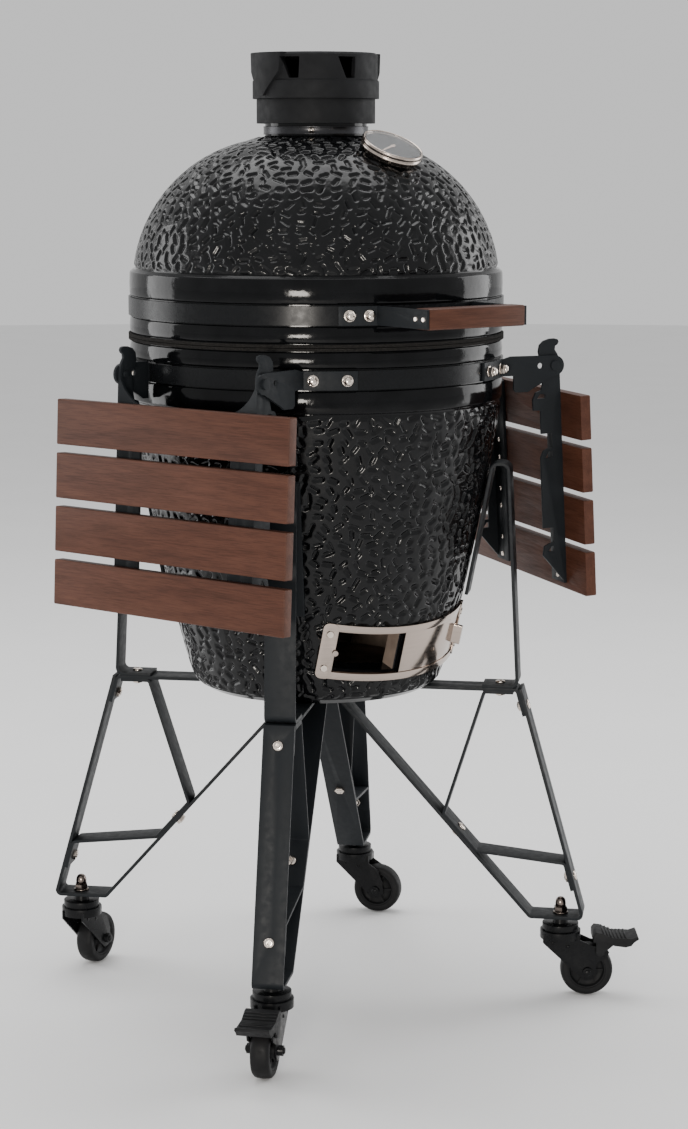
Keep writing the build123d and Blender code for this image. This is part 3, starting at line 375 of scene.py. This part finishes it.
def grid_mesh(name, points, closed_u=True, closed_v=False, keep=None):
    """Smooth quad mesh over points[v][u], wrapped along u and v where asked."""
    rows, columns = points.shape[:2]
    v, u = np.meshgrid(np.arange(rows - (not closed_v)), np.arange(columns - (not closed_u)), indexing="ij")
    v2, u2 = (v + 1) % rows, (u + 1) % columns
    corners = [v * columns + u, v * columns + u2, v2 * columns + u2, v2 * columns + u]
    quads = np.stack(corners, -1).reshape(-1, 4)
    if keep is not None:
        middle = points.reshape(-1, 3)[quads].mean(1)
        quads = quads[keep(middle)]
    mesh = bpy.data.meshes.new(name)
    mesh.vertices.add(rows * columns)
    mesh.vertices.foreach_set("co", points.reshape(-1).astype(np.float32))
    mesh.loops.add(quads.size)
    mesh.loops.foreach_set("vertex_index", quads.reshape(-1).astype(np.int32))
    mesh.polygons.add(len(quads))
    mesh.polygons.foreach_set("loop_start", (np.arange(len(quads)) * 4).astype(np.int32))
    mesh.update(calc_edges=True)
    mesh.validate()
    mesh.shade_smooth()
    return mesh


def basis(axis, spot):
    """Matrix that takes local Z to an axis and the local origin to a spot."""
    turn = Vector(axis).normalized().to_track_quat("Z", "Y").to_matrix().to_4x4()
    return Matrix.Translation(spot) @ turn


def joined(meshes, name):
    """One mesh from several, which are used up."""
    whole = bmesh.new()
    for mesh in meshes:
        whole.from_mesh(mesh)
        bpy.data.meshes.remove(mesh)
    made = bpy.data.meshes.new(name)
    whole.to_mesh(made)
    whole.free()
    return made


def lathe(profile, matrix, segments=40):
    """Body of revolution about local Z from (radius, height) points; ends on the axis are closed."""
    angles = np.linspace(0, 2 * math.pi, segments, endpoint=False)
    ring = np.stack([np.cos(angles), np.sin(angles)], -1)
    points = np.zeros((len(profile), segments, 3))
    for row, (radius, height) in enumerate(profile):
        points[row, :, :2] = ring * max(radius, 1e-6)
        points[row, :, 2] = height
    mesh = grid_mesh("lathe", points)
    work = bmesh.new()
    work.from_mesh(mesh)
    bmesh.ops.remove_doubles(work, verts=work.verts, dist=1e-5)
    bmesh.ops.recalc_face_normals(work, faces=work.faces)
    work.to_mesh(mesh)
    work.free()
    mesh.transform(matrix)
    mesh.shade_smooth()
    return mesh


def tube(points, radius, sides=10):
    """Round bar along a list of points, with flat ends."""
    points = [Vector(p) for p in points]
    rings = []
    normal = None
    for i, point in enumerate(points):
        ahead = points[min(i + 1, len(points) - 1)] - points[max(i - 1, 0)]
        ahead.normalize()
        if normal is None:
            normal = ahead.orthogonal().normalized()
        normal = (normal - ahead * normal.dot(ahead)).normalized()
        side = ahead.cross(normal)
        angles = [2 * math.pi * k / sides for k in range(sides)]
        rings.append([point + (normal * math.cos(a) + side * math.sin(a)) * radius for a in angles])
    mesh = grid_mesh("tube", np.array(rings, float))
    work = bmesh.new()
    work.from_mesh(mesh)
    bmesh.ops.holes_fill(work, edges=[e for e in work.edges if e.is_boundary], sides=0)
    bmesh.ops.recalc_face_normals(work, faces=work.faces)
    work.to_mesh(mesh)
    work.free()
    return mesh


def softened(node, width):
    """A CAD node's shape with its sharp edges rounded, as rolled and coated metal has them."""
    mesh = nodes[node].data.copy()
    work = bmesh.new()
    work.from_mesh(mesh)
    bmesh.ops.remove_doubles(work, verts=work.verts, dist=1e-6)
    bmesh.ops.dissolve_limit(work, angle_limit=math.radians(1.5), verts=work.verts, edges=work.edges)
    sharp = [e for e in work.edges if len(e.link_faces) == 2 and e.calc_face_angle(0) > math.radians(40)]
    bmesh.ops.bevel(work, geom=sharp, offset=width, offset_type="OFFSET", segments=2, profile=0.6,
                    affect="EDGES", clamp_overlap=True)
    work.to_mesh(mesh)
    work.free()
    mesh.shade_smooth()
    mesh.set_sharp_from_angle(angle=math.radians(32))
    place(mesh, f"{node}_shape", body_of_node(node), finish_of(node), (node,))


# ---- dimpled glaze of the ceramic base and dome ----
PIT_LENGTH, PIT_HALF_WIDTH, PIT_EDGE = 0.0205, 0.0051, 0.0047
PIT_DEPTH, SKIN_RISE = 0.0030, 0.0026
PIT_ROW, PIT_STEP = 0.0128, 0.0192
PIT_TILTS = (-80, -58, -40, -24, -10, 4, 16, 30, 48, 66)
PIT_TURN, PIT_TURN_APART = 7, 15
PIT_SIDEWAYS, PIT_UPDOWN = 0.14, 0.0026
PIT_LENGTHS, PIT_DEPTHS = (0.72, 1.05), (0.85, 1.0)
SKIN_U, SKIN_V = 1200, 0.0015
SKIN_FADE, SKIN_TUCK = 0.006, 0.0002


def arc_profile(centre, radius, start, end, count):
    """Points of an arc in the radius-height plane between two angles in degrees."""
    angles = np.radians(np.linspace(start, end, count))
    return np.stack([centre[0] + radius * np.cos(angles), centre[1] + radius * np.sin(angles)], -1)


def three_point_profile(a, b, c, count):
    """Points of the arc through three points of the radius-height plane."""
    a, b, c = (complex(*point) for point in (a, b, c))
    w = (c - a) / (b - a)
    centre = a - (a - b) * (w - abs(w) ** 2) / (2j * w.imag)
    start, end = (math.degrees(math.atan2((p - centre).imag, (p - centre).real)) for p in (a, c))
    return arc_profile((centre.real, centre.imag), abs(a - centre), start, end, count)


def smoothstep(x):
    x = np.clip(x, 0, 1)
    return x * x * (3 - 2 * x)


def scatter_pits(s, r, rng):
    """Centre, angle, tilt and half length of each pit, in loose staggered rows."""
    pits, rows = [], int(s[-1] / PIT_ROW)
    for row in range(rows):
        middle = (row + 0.5) * s[-1] / rows
        radius = np.interp(middle, s, r)
        count = max(int(2 * math.pi * radius / PIT_STEP), 8)
        start = rng.uniform(0, 2 * math.pi)
        last = None
        for k in range(count):
            angle = start + 2 * math.pi * (k + rng.uniform(-PIT_SIDEWAYS, PIT_SIDEWAYS)) / count
            centre = middle + rng.uniform(-PIT_UPDOWN, PIT_UPDOWN)
            tilt = rng.choice([t for t in PIT_TILTS if last is None or abs(t - last) > PIT_TURN_APART])
            last = tilt
            half = 0.5 * PIT_LENGTH * rng.uniform(*PIT_LENGTHS) - PIT_HALF_WIDTH
            pits.append((centre, angle, math.radians(tilt + rng.uniform(-PIT_TURN, PIT_TURN)), half))
    return pits


def pitted_skin(name, profile, body, seed, keep=None):
    """Skin over a turned surface, raised by SKIN_RISE and covered in short pits in every direction."""
    steps = np.hypot(*np.diff(profile, axis=0).T)
    along = np.concatenate([[0], np.cumsum(steps)])
    rows = int(along[-1] / SKIN_V)
    s = np.linspace(0, along[-1], rows)
    r, z = np.interp(s, along, profile[:, 0]), np.interp(s, along, profile[:, 1])
    height = np.zeros((rows, SKIN_U))
    rng = np.random.default_rng(seed)
    step_s, step_a = s[1] - s[0], 2 * math.pi / SKIN_U
    for centre, angle, tilt, half in scatter_pits(s, r, rng):
        radius = np.interp(centre, s, r)
        depth = PIT_DEPTH * rng.uniform(*PIT_DEPTHS)
        reach = half + PIT_HALF_WIDTH + 0.001
        i0, i1 = max(int((centre - reach) / step_s), 0), min(int((centre + reach) / step_s) + 2, rows)
        j = np.arange(int((angle - reach / radius) / step_a), int((angle + reach / radius) / step_a) + 2)
        x = (j * step_a - angle)[None, :] * radius
        y = s[i0:i1, None] - centre
        lengthways = x * math.cos(tilt) + y * math.sin(tilt)
        across = -x * math.sin(tilt) + y * math.cos(tilt)
        distance = np.hypot(np.maximum(np.abs(lengthways) - half, 0), across)
        pit = depth * smoothstep((PIT_HALF_WIDTH - distance) / PIT_EDGE)
        height[i0:i1, j % SKIN_U] = np.maximum(height[i0:i1, j % SKIN_U], pit)
    ends = smoothstep(np.minimum(s, s[-1] - s) / SKIN_FADE)[:, None]
    rise = (SKIN_RISE - height) * ends - SKIN_TUCK * (1 - ends)
    slope_r, slope_z = np.gradient(r, s), np.gradient(z, s)
    angle = np.arange(SKIN_U) * step_a
    radius = r[:, None] + slope_z[:, None] * rise
    level = z[:, None] - slope_r[:, None] * rise
    points = np.stack([radius * np.cos(angle), radius * np.sin(angle), level], -1)
    place(grid_mesh(name, points, keep=keep), name, body, "dimpled_glaze")


DRAFT_HALF_ANGLE, DRAFT_HALF_TALL = 39.0, 0.0335


def outside_draft_frame(middle):
    """True where a face isn't behind the draft frame."""
    low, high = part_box("draft_frame")
    azimuth = np.degrees(np.arctan2(middle[:, 0], -middle[:, 1])) - CERAMIC_TURN
    tall = np.abs(middle[:, 2] - (low.z + high.z) / 2)
    return ~((np.abs(azimuth) < DRAFT_HALF_ANGLE) & (tall < DRAFT_HALF_TALL))


BASE_WALL_POINTS = [(0.1712, 0.4575), (0.1801, 0.482), (0.2017, 0.562)]
BASE_CURVE = [(0.2017, 0.562), (0.231, 0.700), (0.257, 0.855)]
DOME_CENTRE, DOME_ARC = (0.0532, 1.0135), 0.200
DOME_STEP_ANGLE, DOME_TOP_ANGLE = 7.0, 78.0
NECK_ROOT = (0.0742, 1.2163)


def make_ceramic_skins():
    base = np.concatenate([np.array(BASE_WALL_POINTS[:-1]), three_point_profile(*BASE_CURVE, 40)])
    pitted_skin("base_dimples", base, "root", 11, outside_draft_frame)
    arc = arc_profile(DOME_CENTRE, DOME_ARC, DOME_STEP_ANGLE, DOME_TOP_ANGLE, 60)
    pitted_skin("dome_dimples", np.concatenate([arc, np.array([NECK_ROOT])]), "lid", 23)


# ---- smooth rolled rims of the ceramic, either side of each band ----
RIM_R, ROLL = 0.258, 0.0022
RIMS = [("base_rim_low", "root", 0.8575, 0.8885), ("base_rim_high", "root", 0.9165, 0.9395),
        ("dome_rim_low", "lid", 0.9495, 0.9725), ("dome_rim_high", "lid", 1.0005, 1.0345)]


def make_rims():
    """Rings with rounded edges and a slightly crowned face."""
    for name, body, low, high in RIMS:
        lower = [(-0.0006, 0), (0.0006, 0.0004), (0.0016, 0.0013), (ROLL, 0.0032)]
        upper = [(ROLL - 0.0003, 0.0036), (0.0013, 0.0015), (0.0004, 0.0004), (-0.0006, 0)]
        profile = [(RIM_R + proud, low + inset) for proud, inset in lower]
        profile.append((RIM_R + ROLL + 0.0003, (low + high) / 2))
        profile += [(RIM_R + proud, high - inset) for proud, inset in upper]
        place(lathe(profile, Matrix(), 256), name, body, "glazed_ceramic")


# ---- woven gaskets ----
WEAVES, GASKET_INNER, GASKET_OUTER = 420, 0.2385, 0.2615
STRAND_RISE, STRAND_SLANT, ROW_SHIFT = 0.0009, 1.9, 0.8


def make_gasket(node, body):
    """Flat rope whose outer face is two rows of plaited strands."""
    low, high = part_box(node)
    middle, half = (low.z + high.z) / 2, (high.z - low.z) / 2
    section = [(GASKET_INNER, -half), (GASKET_OUTER - 0.002, -half)]
    section += [(GASKET_OUTER, half * t) for t in np.linspace(-0.9, 0.9, 13)]
    section += [(GASKET_OUTER - 0.002, half), (GASKET_INNER, half)]
    columns = WEAVES * 6
    angle = np.linspace(0, 2 * math.pi, columns, endpoint=False)
    points = np.zeros((len(section), columns, 3))
    for row, (radius, height) in enumerate(section):
        across = height / half
        plait = np.abs(np.sin(WEAVES / 2 * angle + STRAND_SLANT * across + (across > 0) * ROW_SHIFT))
        strand = math.sqrt(max(0.0, 1 - (2 * abs(across) - 1) ** 2))
        reach = radius + (radius >= GASKET_OUTER) * STRAND_RISE * plait * strand
        level = np.full(columns, middle + height)
        points[row] = np.stack([reach * np.cos(angle), reach * np.sin(angle), level], -1)
    place(grid_mesh(f"{node}_plait", points, closed_v=True), f"{node}_plait", body, "felt", (node,))


# ---- fasteners ----
PLATE_FACE, UPPER_BOLT_Z, LOWER_BOLT_Z = 0.2661, 0.9865, 0.9025
UPPER_BOLTS = (-25.9, -20.2, 20.2, 25.9, 172, 188)
LOWER_BOLTS = (-26.5, -36.2, 26.5, 36.2, -99.5, -106.5, 99.5, 106.5, 172, 188)
LEG_AZIMUTHS, STEM_RHO, FOOT_TOP_Z = (-45, 45, 135, -135), 0.354, 0.120
BAND_STUD, FOOT_STUD = (0.004, 0.0075), (0.006, 0.002)


def acorn_nut(spot, axis, size=1.0, dome=1.0):
    """Washer, chamfered hexagon and domed cap that stand on a face."""
    at = basis(axis, spot)
    k = size * MM
    washer = [(3, 0), (7.4, 0), (7.7, 0.3), (7.7, 1.3), (7.3, 1.7), (5, 1.7)]
    hexagon = [(4, 1.7), (6.5, 1.7), (7.1, 2.2), (7.1, 6.4), (6.2, 7.2), (4, 7.3)]
    cap = [(4, 7.1), (5.5, 7.1), (5.5, 7.1 + 1.8 * dome), (5.1, 7.1 + 3.1 * dome), (4.2, 7.1 + 4.2 * dome),
           (2.8, 7.1 + 4.9 * dome), (1.4, 7.1 + 5.15 * dome), (0, 7.1 + 5.2 * dome)]
    parts = [lathe([(r * k, h * k) for r, h in washer], at, 36),
             lathe([(r * k, h * k) for r, h in hexagon], at, 6),
             lathe([(r * k, h * k) for r, h in cap], at, 32)]
    parts[1].shade_flat()
    return parts


def stud(spot, axis, radius, length):
    """Plain shank from a face inwards."""
    return lathe([(0, 0.0005), (radius, 0.0005), (radius, -length), (0, -length)], basis(axis, spot), 20)


def nut_ring(azimuths, z):
    """Acorn nuts and their studs around one band."""
    parts = []
    for azimuth in azimuths:
        spot = out(azimuth) * PLATE_FACE + Vector((0, 0, z))
        parts += acorn_nut(spot, out(azimuth)) + [stud(spot, out(azimuth), *BAND_STUD)]
    return parts


def make_acorn_nuts():
    upper = joined(nut_ring(UPPER_BOLTS, UPPER_BOLT_Z), "band_nuts")
    place(upper, "band_nuts", "lid", "fastener_steel", ("upper_band_bolts",))
    lower = joined(nut_ring(LOWER_BOLTS, LOWER_BOLT_Z), "cart_nuts")
    place(lower, "cart_nuts", "root", "fastener_steel", ("acorn_nuts",))
    feet = []
    for azimuth in LEG_AZIMUTHS:
        spot = out(azimuth) * STEM_RHO + Vector((0, 0, FOOT_TOP_Z))
        feet += acorn_nut(spot, (0, 0, 1), 1.4, 1.9) + [stud(spot, (0, 0, 1), *FOOT_STUD)]
    place(joined(feet, "foot_nuts"), "foot_nuts", "root", "foot_nut_steel")


LEG_TOP, LEG_FOOT, STRAP, BRACE = (0.296, 0.450), (0.390, 0.1155), 0.0045, 0.004
LEG_SLOPE = (LEG_FOOT[0] - LEG_TOP[0]) / (LEG_TOP[1] - LEG_FOOT[1])
LEG_BOLT_ZS, YOKE_BOLT_RHO = (0.424, 0.176), 0.264
DIAGONAL_RISE, DIAGONAL_FOOT_RHO, DIAGONAL_BOLT_RHO = 1.12, 0.3105, 0.210


def through_bolt(spot, axis, grip):
    """Button head with a hexagon socket, shank and nut on the far side."""
    at = basis(axis, spot)
    head = [(3, 0), (7, 0), (7.2, 0.4), (6.8, 1.5), (5.9, 2.5), (4.6, 3.0), (3.6, 3.1), (2.6, 3.05)]
    socket = [(2.75, 3.04), (2.5, 2.9), (2.5, 0.9), (0, 0.9)]
    nut = [(3, 0), (6.9, 0), (7.5, -0.5), (7.5, -4.5), (6.9, -5), (3, -5)]
    parts = [lathe([(r * MM, h * MM) for r, h in head], at, 32),
             lathe([(r * MM, h * MM) for r, h in socket], at, 6),
             lathe([(r * MM, h * MM - grip) for r, h in nut], at, 6),
             lathe([(3.9 * MM, 0.0003), (3.9 * MM, -grip - 0.006), (0, -grip - 0.006)], at, 20)]
    parts[1].shade_flat()
    parts[2].shade_flat()
    return parts


def make_leg_bolts():
    """Four bolts a leg: two through its face, one down through its top, one through the diagonal brace."""
    bolts = []
    cosine = 1 / math.sqrt(1 + LEG_SLOPE ** 2)
    fall = 1 / math.sqrt(1 + DIAGONAL_RISE ** 2)
    stack = (STRAP + BRACE) / fall
    grips = (2 * STRAP + 0.0001, STRAP + BRACE + 0.0001)
    for azimuth in LEG_AZIMUTHS:
        side = out(azimuth)
        for z, grip in zip(LEG_BOLT_ZS, grips):
            rho = LEG_TOP[0] + (LEG_TOP[1] - z) * LEG_SLOPE
            axis = side * cosine + Vector((0, 0, cosine * LEG_SLOPE))
            bolts += through_bolt(side * rho + Vector((0, 0, z)), axis, grip)
        spot = side * YOKE_BOLT_RHO + Vector((0, 0, LEG_TOP[1] + STRAP))
        bolts += through_bolt(spot, (0, 0, 1), 2 * STRAP + BRACE)
        z = LEG_FOOT[1] + (DIAGONAL_FOOT_RHO - DIAGONAL_BOLT_RHO) * DIAGONAL_RISE + stack
        axis = side * (DIAGONAL_RISE * fall) + Vector((0, 0, fall))
        bolts += through_bolt(side * DIAGONAL_BOLT_RHO + Vector((0, 0, z)), axis, STRAP + BRACE)
    place(joined(bolts, "leg_button_bolts"), "leg_button_bolts", "root", "fastener_steel", ("leg_bolts",))


# ---- torsion springs on the rear hinge ----
HINGE_PIN, SPRING_BAR = Vector((0, 0.318, 0.9445)), Vector((0, 0.352, 0.925))
COIL_R, WIRE_R, TURNS, STEPS_A_TURN = 0.0087, 0.00165, 10.5, 24
COIL_START, COIL_PITCH = 0.008, 0.0034


def make_springs():
    """A coil either side of the hinge's middle, whose tail bears on the spring bar."""
    coils = []
    for side in (-1, 1):
        path = []
        for step in range(int(TURNS * STEPS_A_TURN) + 1):
            turn = step / STEPS_A_TURN
            angle = 2 * math.pi * turn + math.pi / 2
            along = side * (COIL_START + COIL_PITCH * turn)
            path.append(HINGE_PIN + Vector((along, COIL_R * math.cos(angle), COIL_R * math.sin(angle))))
        leg = path[-1].copy()
        path.append(leg + Vector((0, 0.010, -0.004)))
        path.append(Vector((leg.x, SPRING_BAR.y - 0.004, SPRING_BAR.z + 0.0068)))
        coils.append(tube(path, WIRE_R, 10))
    whole = joined(coils, "torsion_springs")
    place(whole, "torsion_springs", "root", "foot_nut_steel", ("hinge_springs",))


# ---- thermometer ----
GAUGE_ELEVATION = 62.7
SCALE_MARKS, SCALE_START, SCALE_SWEEP = 51, 225, 270
LONG_MARK, SHORT_MARK, MARK_END, MARK_HEIGHTS = (30.5, 0.55), (33.0, 0.28), 36.0, (12.75, 12.95)


def gauge_basis():
    """Matrix whose origin is the dome's surface under the gauge, and whose Z looks out of its dial."""
    front = out(CERAMIC_TURN)
    tilt = math.radians(GAUGE_ELEVATION)
    rho = DOME_CENTRE[0] + DOME_ARC * math.cos(tilt)
    foot = front * rho + Vector((0, 0, DOME_CENTRE[1] + DOME_ARC * math.sin(tilt)))
    axis = front * math.cos(tilt) + Vector((0, 0, math.sin(tilt)))
    x = Vector((0, 0, 1)).cross(front)
    turn = Matrix((x, axis.cross(x), axis)).transposed().to_4x4()
    return Matrix.Translation(foot) @ turn


GAUGE_CASE = [
    (3, -67), (3, -27.2), (12.8, -27.2), (12.8, -22.9), (8, -22.9), (8, 1), (38, 1), (38.5, 1.6), (38.5, 5.6),
    (41.2, 6.2), (42.3, 7), (42.5, 8), (42.5, 10.6), (41.9, 11.1), (41.9, 12), (42.5, 12.5), (42.5, 16),
    (42.1, 17.1), (41.2, 17.6), (40.4, 17.4), (39.4, 16.6), (39, 15.6), (39, 12), (0, 11.95),
]


def scale_mark(angle, inner, outer, half, low, high):
    """One raised stroke of the dial's scale, in millimetres."""
    work = bmesh.new()
    corners = [(inner, -half), (outer, -half), (outer, half), (inner, half)]
    turned = [(x * math.cos(angle) - y * math.sin(angle), x * math.sin(angle) + y * math.cos(angle))
              for x, y in corners]
    foot = [work.verts.new((x * MM, y * MM, low * MM)) for x, y in turned]
    face = [work.verts.new((x * MM, y * MM, high * MM)) for x, y in turned]
    work.faces.new(face)
    for k in range(4):
        work.faces.new((foot[k], foot[(k + 1) % 4], face[(k + 1) % 4], face[k]))
    mark = bpy.data.meshes.new("mark")
    work.to_mesh(mark)
    work.free()
    return mark


def make_thermometer():
    at = gauge_basis()
    case = lathe([(r * MM, h * MM) for r, h in GAUGE_CASE], at, 96)
    place(case, "gauge_case", "lid", "gauge_steel", ("thermometer_case",))
    marks = []
    for step in range(SCALE_MARKS):
        angle = math.radians(SCALE_START - SCALE_SWEEP * step / (SCALE_MARKS - 1))
        inner, half = LONG_MARK if step % 5 == 0 else SHORT_MARK
        mark = scale_mark(angle, inner, MARK_END, half, *MARK_HEIGHTS)
        mark.transform(at)
        marks.append(mark)
    place(joined(marks, "dial_scale"), "dial_scale", "lid", "dial_marks")


# ---- chimney clamp ----
CLAMP_BAND = [(70.6, 1220.0), (72.4, 1220.0), (72.9, 1220.8), (72.4, 1221.6), (72.4, 1229.4), (72.9, 1230.2),
              (72.4, 1231.0), (70.6, 1231.0)]
CLAMP_SCREW = [(0, 5.2), (1.6, 5.2), (1.8, 4.6), (3.6, 4.6), (4.2, 3.6), (4.4, 1), (4.4, 0)]
CLAMP_AZIMUTH, CLAMP_FACE, CLAMP_Z = -40, 0.0722, 1.2255


def make_clamp():
    band = lathe([(r * MM, h * MM) for r, h in CLAMP_BAND], Matrix(), 128)
    spot = out(CLAMP_AZIMUTH) * CLAMP_FACE + Vector((0, 0, CLAMP_Z))
    screw = lathe([(r * MM, h * MM) for r, h in CLAMP_SCREW], basis(out(CLAMP_AZIMUTH), spot), 24)
    place(band, "clamp_band", "lid", "clamp_steel", ("chimney_clamp",))
    place(screw, "clamp_screw", "lid", "fastener_steel")


# ---- casters ----
CORNERS = dict(zip(("fl", "fr", "br", "bl"), LEG_AZIMUTHS))
TYRE = [(27, -12.6), (31.5, -12.9), (34, -12.4), (36, -10.6), (37.1, -7.5), (37.5, -3), (37.5, 3),
        (37.1, 7.5), (36, 10.6), (34, 12.4), (31.5, 12.9), (27, 12.6)]
HUB = [(4.1, -15), (10.4, -15), (11, -14.4), (11, -8), (12.5, -6.6), (22.5, -6.6), (24, -8.2),
       (24.4, -11.6), (25.2, -12.2), (27, -12.2), (27, 12.2), (25.2, 12.2), (24.4, 11.6), (24, 8.2),
       (22.5, 6.6), (12.5, 6.6), (11, 8), (11, 14.4), (10.4, 15), (4.1, 15), (4.1, -15)]
SPOKES, SPOKE_SIZE, SPOKE_MIDDLE = 6, (0.0125, 0.0022, 0.0185), 0.0172
AXLE_HEAD = [(0, 2.4), (3.4, 2.2), (4.4, 1.4), (4.6, 0), (4.6, -1), (0, -1)]
RIVET = [(0, 1.2), (1.8, 1), (2.6, 0.2), (2.6, -0.8), (0, -0.8)]
RIVET_SPOTS = ((0.010, 0.0745), (-0.012, 0.0800))
FORK_FACE, AXLE_FACE = 0.018, 0.0245
TREAD_RIBS, TREAD_START, TREAD_LENGTH, TREAD_HALF, RIB_R = 7, 0.060, 0.032, 0.0215, 0.0014
TREAD_TOP_Z, TREAD_FALL = 0.0945, 0.0065


def caster_at(corner):
    """Floor point under the stem, the way to the wheel, the axle's direction and the wheel's centre."""
    joint = next(j for j in frame["record"]["behaviour"]["joints"] if j["name"] == f"wheel_spin_{corner}")
    centre = Vector(joint["pos_m"])
    foot = out(CORNERS[corner]) * STEM_RHO
    ahead = Vector((centre.x - foot.x, centre.y - foot.y, 0)).normalized()
    return foot, ahead, Vector(joint["axis"]).normalized(), centre


def spoke(number):
    work = bmesh.new()
    bmesh.ops.create_cube(work, size=1.0)
    bmesh.ops.scale(work, verts=work.verts, vec=SPOKE_SIZE)
    bmesh.ops.translate(work, verts=work.verts, vec=(SPOKE_MIDDLE, 0, 0))
    turn = Matrix.Rotation(2 * math.pi * number / SPOKES, 3, "Z")
    bmesh.ops.rotate(work, verts=work.verts, matrix=turn)
    mesh = bpy.data.meshes.new("spoke")
    work.to_mesh(mesh)
    work.free()
    return mesh


def make_wheels():
    for corner in CORNERS:
        _, _, axis, centre = caster_at(corner)
        at = basis(axis, centre)
        tyre = lathe([(r * MM, h * MM) for r, h in TYRE], at, 96)
        place(tyre, f"tyre_{corner}", f"wheel_{corner}", "tyre", (f"wheel_tyre_{corner}",))
        spokes = [spoke(number) for number in range(SPOKES)]
        for mesh in spokes:
            mesh.transform(at)
        dish = lathe([(r * MM, h * MM) for r, h in HUB], at, 64)
        hub = joined([dish] + spokes, f"hub_{corner}")
        place(hub, f"hub_{corner}", f"wheel_{corner}", "black_plastic", (f"wheel_hub_{corner}",))


def make_caster_details():
    """Axle bolt heads, fork rivets, and ribs across the brake treads."""
    for corner in CORNERS:
        foot, ahead, axis, centre = caster_at(corner)
        pieces = []
        for side in (-1, 1):
            spot = centre + axis * side * AXLE_FACE
            pieces.append(lathe([(r * MM, h * MM) for r, h in AXLE_HEAD], basis(axis * side, spot), 24))
            for x, z in RIVET_SPOTS:
                spot = foot + ahead * x + Vector((0, 0, z)) + axis * side * FORK_FACE
                pieces.append(lathe([(r * MM, h * MM) for r, h in RIVET], basis(axis * side, spot), 18))
        name = f"caster_rivets_{corner}"
        place(joined(pieces, name), name, f"fork_{corner}", "black_steel")
    for corner in ("fl", "fr"):
        foot, ahead, axis, _ = caster_at(corner)
        ribs = []
        for k in range(TREAD_RIBS):
            share = k / (TREAD_RIBS - 1)
            height = TREAD_TOP_Z - TREAD_FALL * min(1, 2 * share)
            spot = foot + ahead * (TREAD_START + TREAD_LENGTH * share) + Vector((0, 0, height))
            ribs.append(tube([spot - axis * TREAD_HALF, spot + axis * TREAD_HALF], RIB_R, 8))
        name = f"tread_ribs_{corner}"
        place(joined(ribs, name), name, f"pedal_{corner}", "black_plastic")


# ---- inner faces of the ceramic are unglazed ----
INWARD, LEVEL = 0.2, 0.97
ASH_FLOOR_Z, DRAFT_CUT_Z = (0.479, 0.481), (0.485, 0.58)


def bare_inside(node):
    """Unglazed material on walls that face the axis, on the floor and on the draft cut's cheeks."""
    mesh = nodes[node].data
    mesh.materials.append(MATERIALS["refractory"])
    for face in mesh.polygons:
        radial = Vector((face.center.x, face.center.y, 0))
        facing = face.normal.dot(radial.normalized()) if radial.length > 1e-4 else -1.0
        level = abs(face.normal.z) > LEVEL
        floor = level and ASH_FLOOR_Z[0] < face.center.z < ASH_FLOOR_Z[1]
        cheek = abs(facing) < INWARD and not level and DRAFT_CUT_Z[0] < face.center.z < DRAFT_CUT_Z[1]
        if (facing < -INWARD and not level) or floor or cheek:
            face.material_index = 1


# ---- rounded edges on sheet metal, straps and slats ----
EDGES = {
    "leg_yokes": 0.0007, "leg_braces": 0.0006, "cradle_cross": 0.0006,
    "leg_lower_fl": 0.0007, "leg_lower_fr": 0.0007, "leg_lower_bl": 0.0007, "leg_lower_br": 0.0007,
    "left_brackets": 0.0005, "right_brackets": 0.0005, "table_arms": 0.0005, "handle_arms": 0.0005,
    "hinge_lower": 0.0005, "hinge_upper": 0.0005, "left_slats": 0.0010, "right_slats": 0.0010,
    "handle_bar": 0.0008, "vent_cap": 0.0008, "vent_base": 0.0006, "draft_frame": 0.0004,
    "draft_door": 0.0003,
    "caster_fork_fl": 0.0005, "caster_fork_fr": 0.0005, "caster_fork_br": 0.0005, "caster_fork_bl": 0.0005,
    "brake_pedal_fl": 0.0008, "brake_pedal_fr": 0.0008, "caster_stems": 0.0005,
}


def soften_edges():
    for node, width in EDGES.items():
        softened(node, width)


# ---- floor ----
def make_floor():
    mesh = bpy.data.meshes.new("floor")
    work = bmesh.new()
    bmesh.ops.create_circle(work, cap_ends=True, segments=96, radius=14)
    work.to_mesh(mesh)
    work.free()
    mesh.materials.append(MATERIALS["floor"])
    floor = bpy.data.objects.new("floor", mesh)
    floor.location.z = -0.0005
    bpy.context.collection.objects.link(floor)


paint_nodes()
make_camera()
make_studio()
make_ceramic_skins()
make_rims()
make_gasket("gasket_lower", "root")
make_gasket("gasket_upper", "lid")
make_acorn_nuts()
make_leg_bolts()
make_springs()
make_thermometer()
make_clamp()
make_wheels()
make_caster_details()
bare_inside("base_shell")
bare_inside("dome")
soften_edges()
make_floor()
